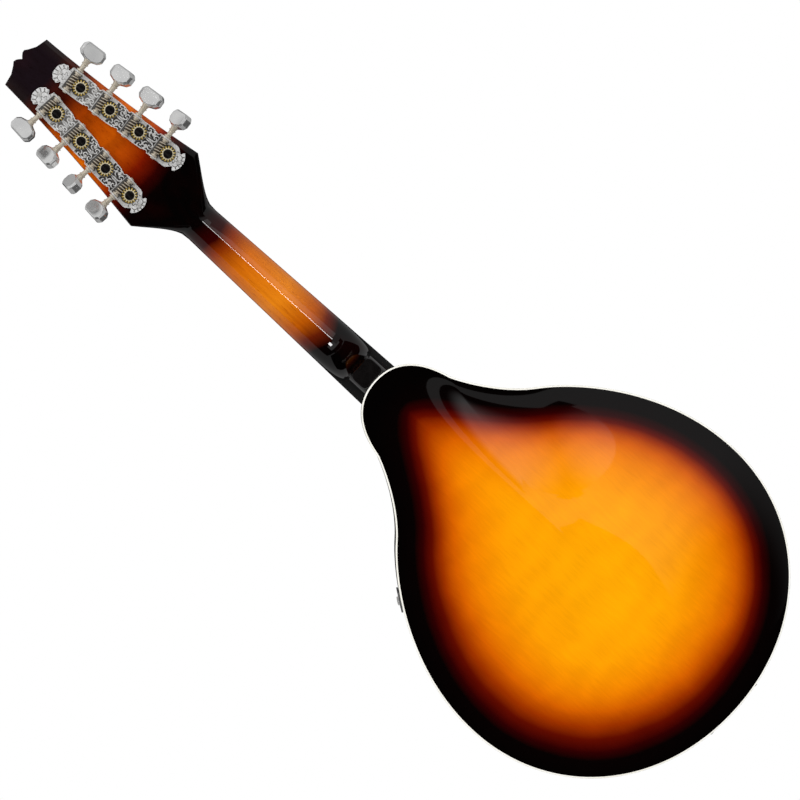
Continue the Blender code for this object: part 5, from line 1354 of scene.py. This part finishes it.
def wire(path, radius, sides=10):
    """Round wire along a path: each ring is square to the run, turned the least from the ring before."""
    path = np.asarray(path, float)
    way = np.gradient(path, axis=0)
    way /= np.linalg.norm(way, axis=1)[:, None]
    across = np.cross(way[0], [0, 0, 1.0])
    if np.linalg.norm(across) < 1e-3:
        across = np.cross(way[0], [1.0, 0, 0])
    rows = []
    turns = full_turn(sides)
    for centre, run in zip(path, way):
        across = across - run * (across @ run)
        across /= np.linalg.norm(across)
        up = np.cross(across, run)
        rows.append(centre + radius * (np.cos(turns)[:, None] * across + np.sin(turns)[:, None] * up))
    return skin(rows)


def dense(points, step=6 * MM):
    """The path with extra points along its straight runs."""
    points = np.asarray(points, float)
    parts = []
    for a, b in zip(points, points[1:]):
        count = max(2, int(np.linalg.norm(b - a) / step))
        parts.append(a + (b - a) * (np.arange(count) / count)[:, None])
    return np.vstack(parts + [points[-1:]])


for number, (bridge_x, nut_x) in enumerate(zip(string_xs(AT_BRIDGE), string_xs(AT_NUT))):
    radius, low_pair = STRING_RADII[3 - number // 2], number < 4
    material, side, place = (bronze, "bass", number) if low_pair else (bare_steel, "treble", 7 - number)
    inner = 1 if low_pair else -1
    hook = np.array(TAIL @ Vector((bridge_x, HOOK_Y + radius, HOOK_Z)))
    at_saddle = np.array([bridge_x, BRIDGE_Y, string_z(BRIDGE_Y) + radius])
    at_nut = np.array([nut_x, NUT_Y, string_z(NUT_Y) + radius])
    post = (HEAD.inverted() @ tuner_frame(side, place)).translation
    round_post, height = POST_WAIST_RADIUS + radius + 0.05 * MM, WAIST_STAND - WINDING_DROP
    end = np.array(HEAD @ Vector((post.x + inner * round_post, post.y, height)))
    tail_path = dense([hook, at_saddle - [0, SADDLE_REACH, 0], at_saddle])
    main_path = dense([at_saddle, at_saddle + [0, SADDLE_REACH, 0], at_nut, at_nut + [0, NUT_LENGTH, 0], end])
    low = piece(f"string_{number + 1}_tail", wire(tail_path, radius), material, body=None,
                replaces=f"string_{number + 1}")
    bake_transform(low)
    high = piece(f"string_{number + 1}_main", wire(main_path, radius), material, body=None)
    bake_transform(high)
    turns = np.linspace(0, WINDING_TURNS * 2 * math.pi, 72)
    coil = np.column_stack([post.x + inner * round_post * np.cos(turns), post.y + round_post * np.sin(turns),
                            height + turns / (2 * math.pi) * (2 * radius + WINDING_GAP)])
    piece(f"winding_{number + 1}", at(HEAD, wire(coil, radius, 8)), material, body=f"post_{side}_{place + 1}")
    turns = np.linspace(LOOP_OPEN, 2 * math.pi - LOOP_OPEN, 20)
    loop = np.column_stack([bridge_x + LOOP_HALF * np.sin(turns), LOOP_Y + LOOP_LONG * np.cos(turns),
                            np.full(len(turns), HOOK_Z)])
    piece(f"hook_loop_{number + 1}", at(TAIL, wire(loop, min(radius, 0.3 * MM), 8)), bare_steel)


# Pickguard
# Black plastic plate floating beside the fretboard, pinned to it by a small block and held at the rim
# by a bent chromed bracket with two screws.

BRACKET_Y, BRACKET_SCREWS, BRACKET_FACE = 98 * MM, (22, 40), 1.48 * MM

soften("pickguard", black_plastic, 0.3 * MM)
soften("pickguard_bracket", chrome, 0.2 * MM)
index = int(np.searchsorted(HALF[:, 1], BRACKET_Y))
run = HALF[index] - HALF[index - 1]
foot = HALF[index - 1] + run * (BRACKET_Y - HALF[index - 1][1]) / run[1]
run = run / np.linalg.norm(run)
BRACKET = Matrix(((run[1], run[0], 0, foot[0]), (-run[0], run[1], 0, foot[1]), (0, 0, 1, 0), (0, 0, 0, 1)))
side_screw = screw(2.4 * MM, 1.2 * MM, 0.32 * MM)
shapes = [set_at(side_screw, (BRACKET_FACE, 0, z * MM), axes=(2, 0, 1)) for z in BRACKET_SCREWS]
shapes.append(set_at(screw(2.2 * MM, 0.9 * MM, 0.3 * MM), (-34 * MM, 0, 71.82 * MM)))
piece("bracket_screws", [at(BRACKET, shape) for shape in shapes], bright, sharp=50)
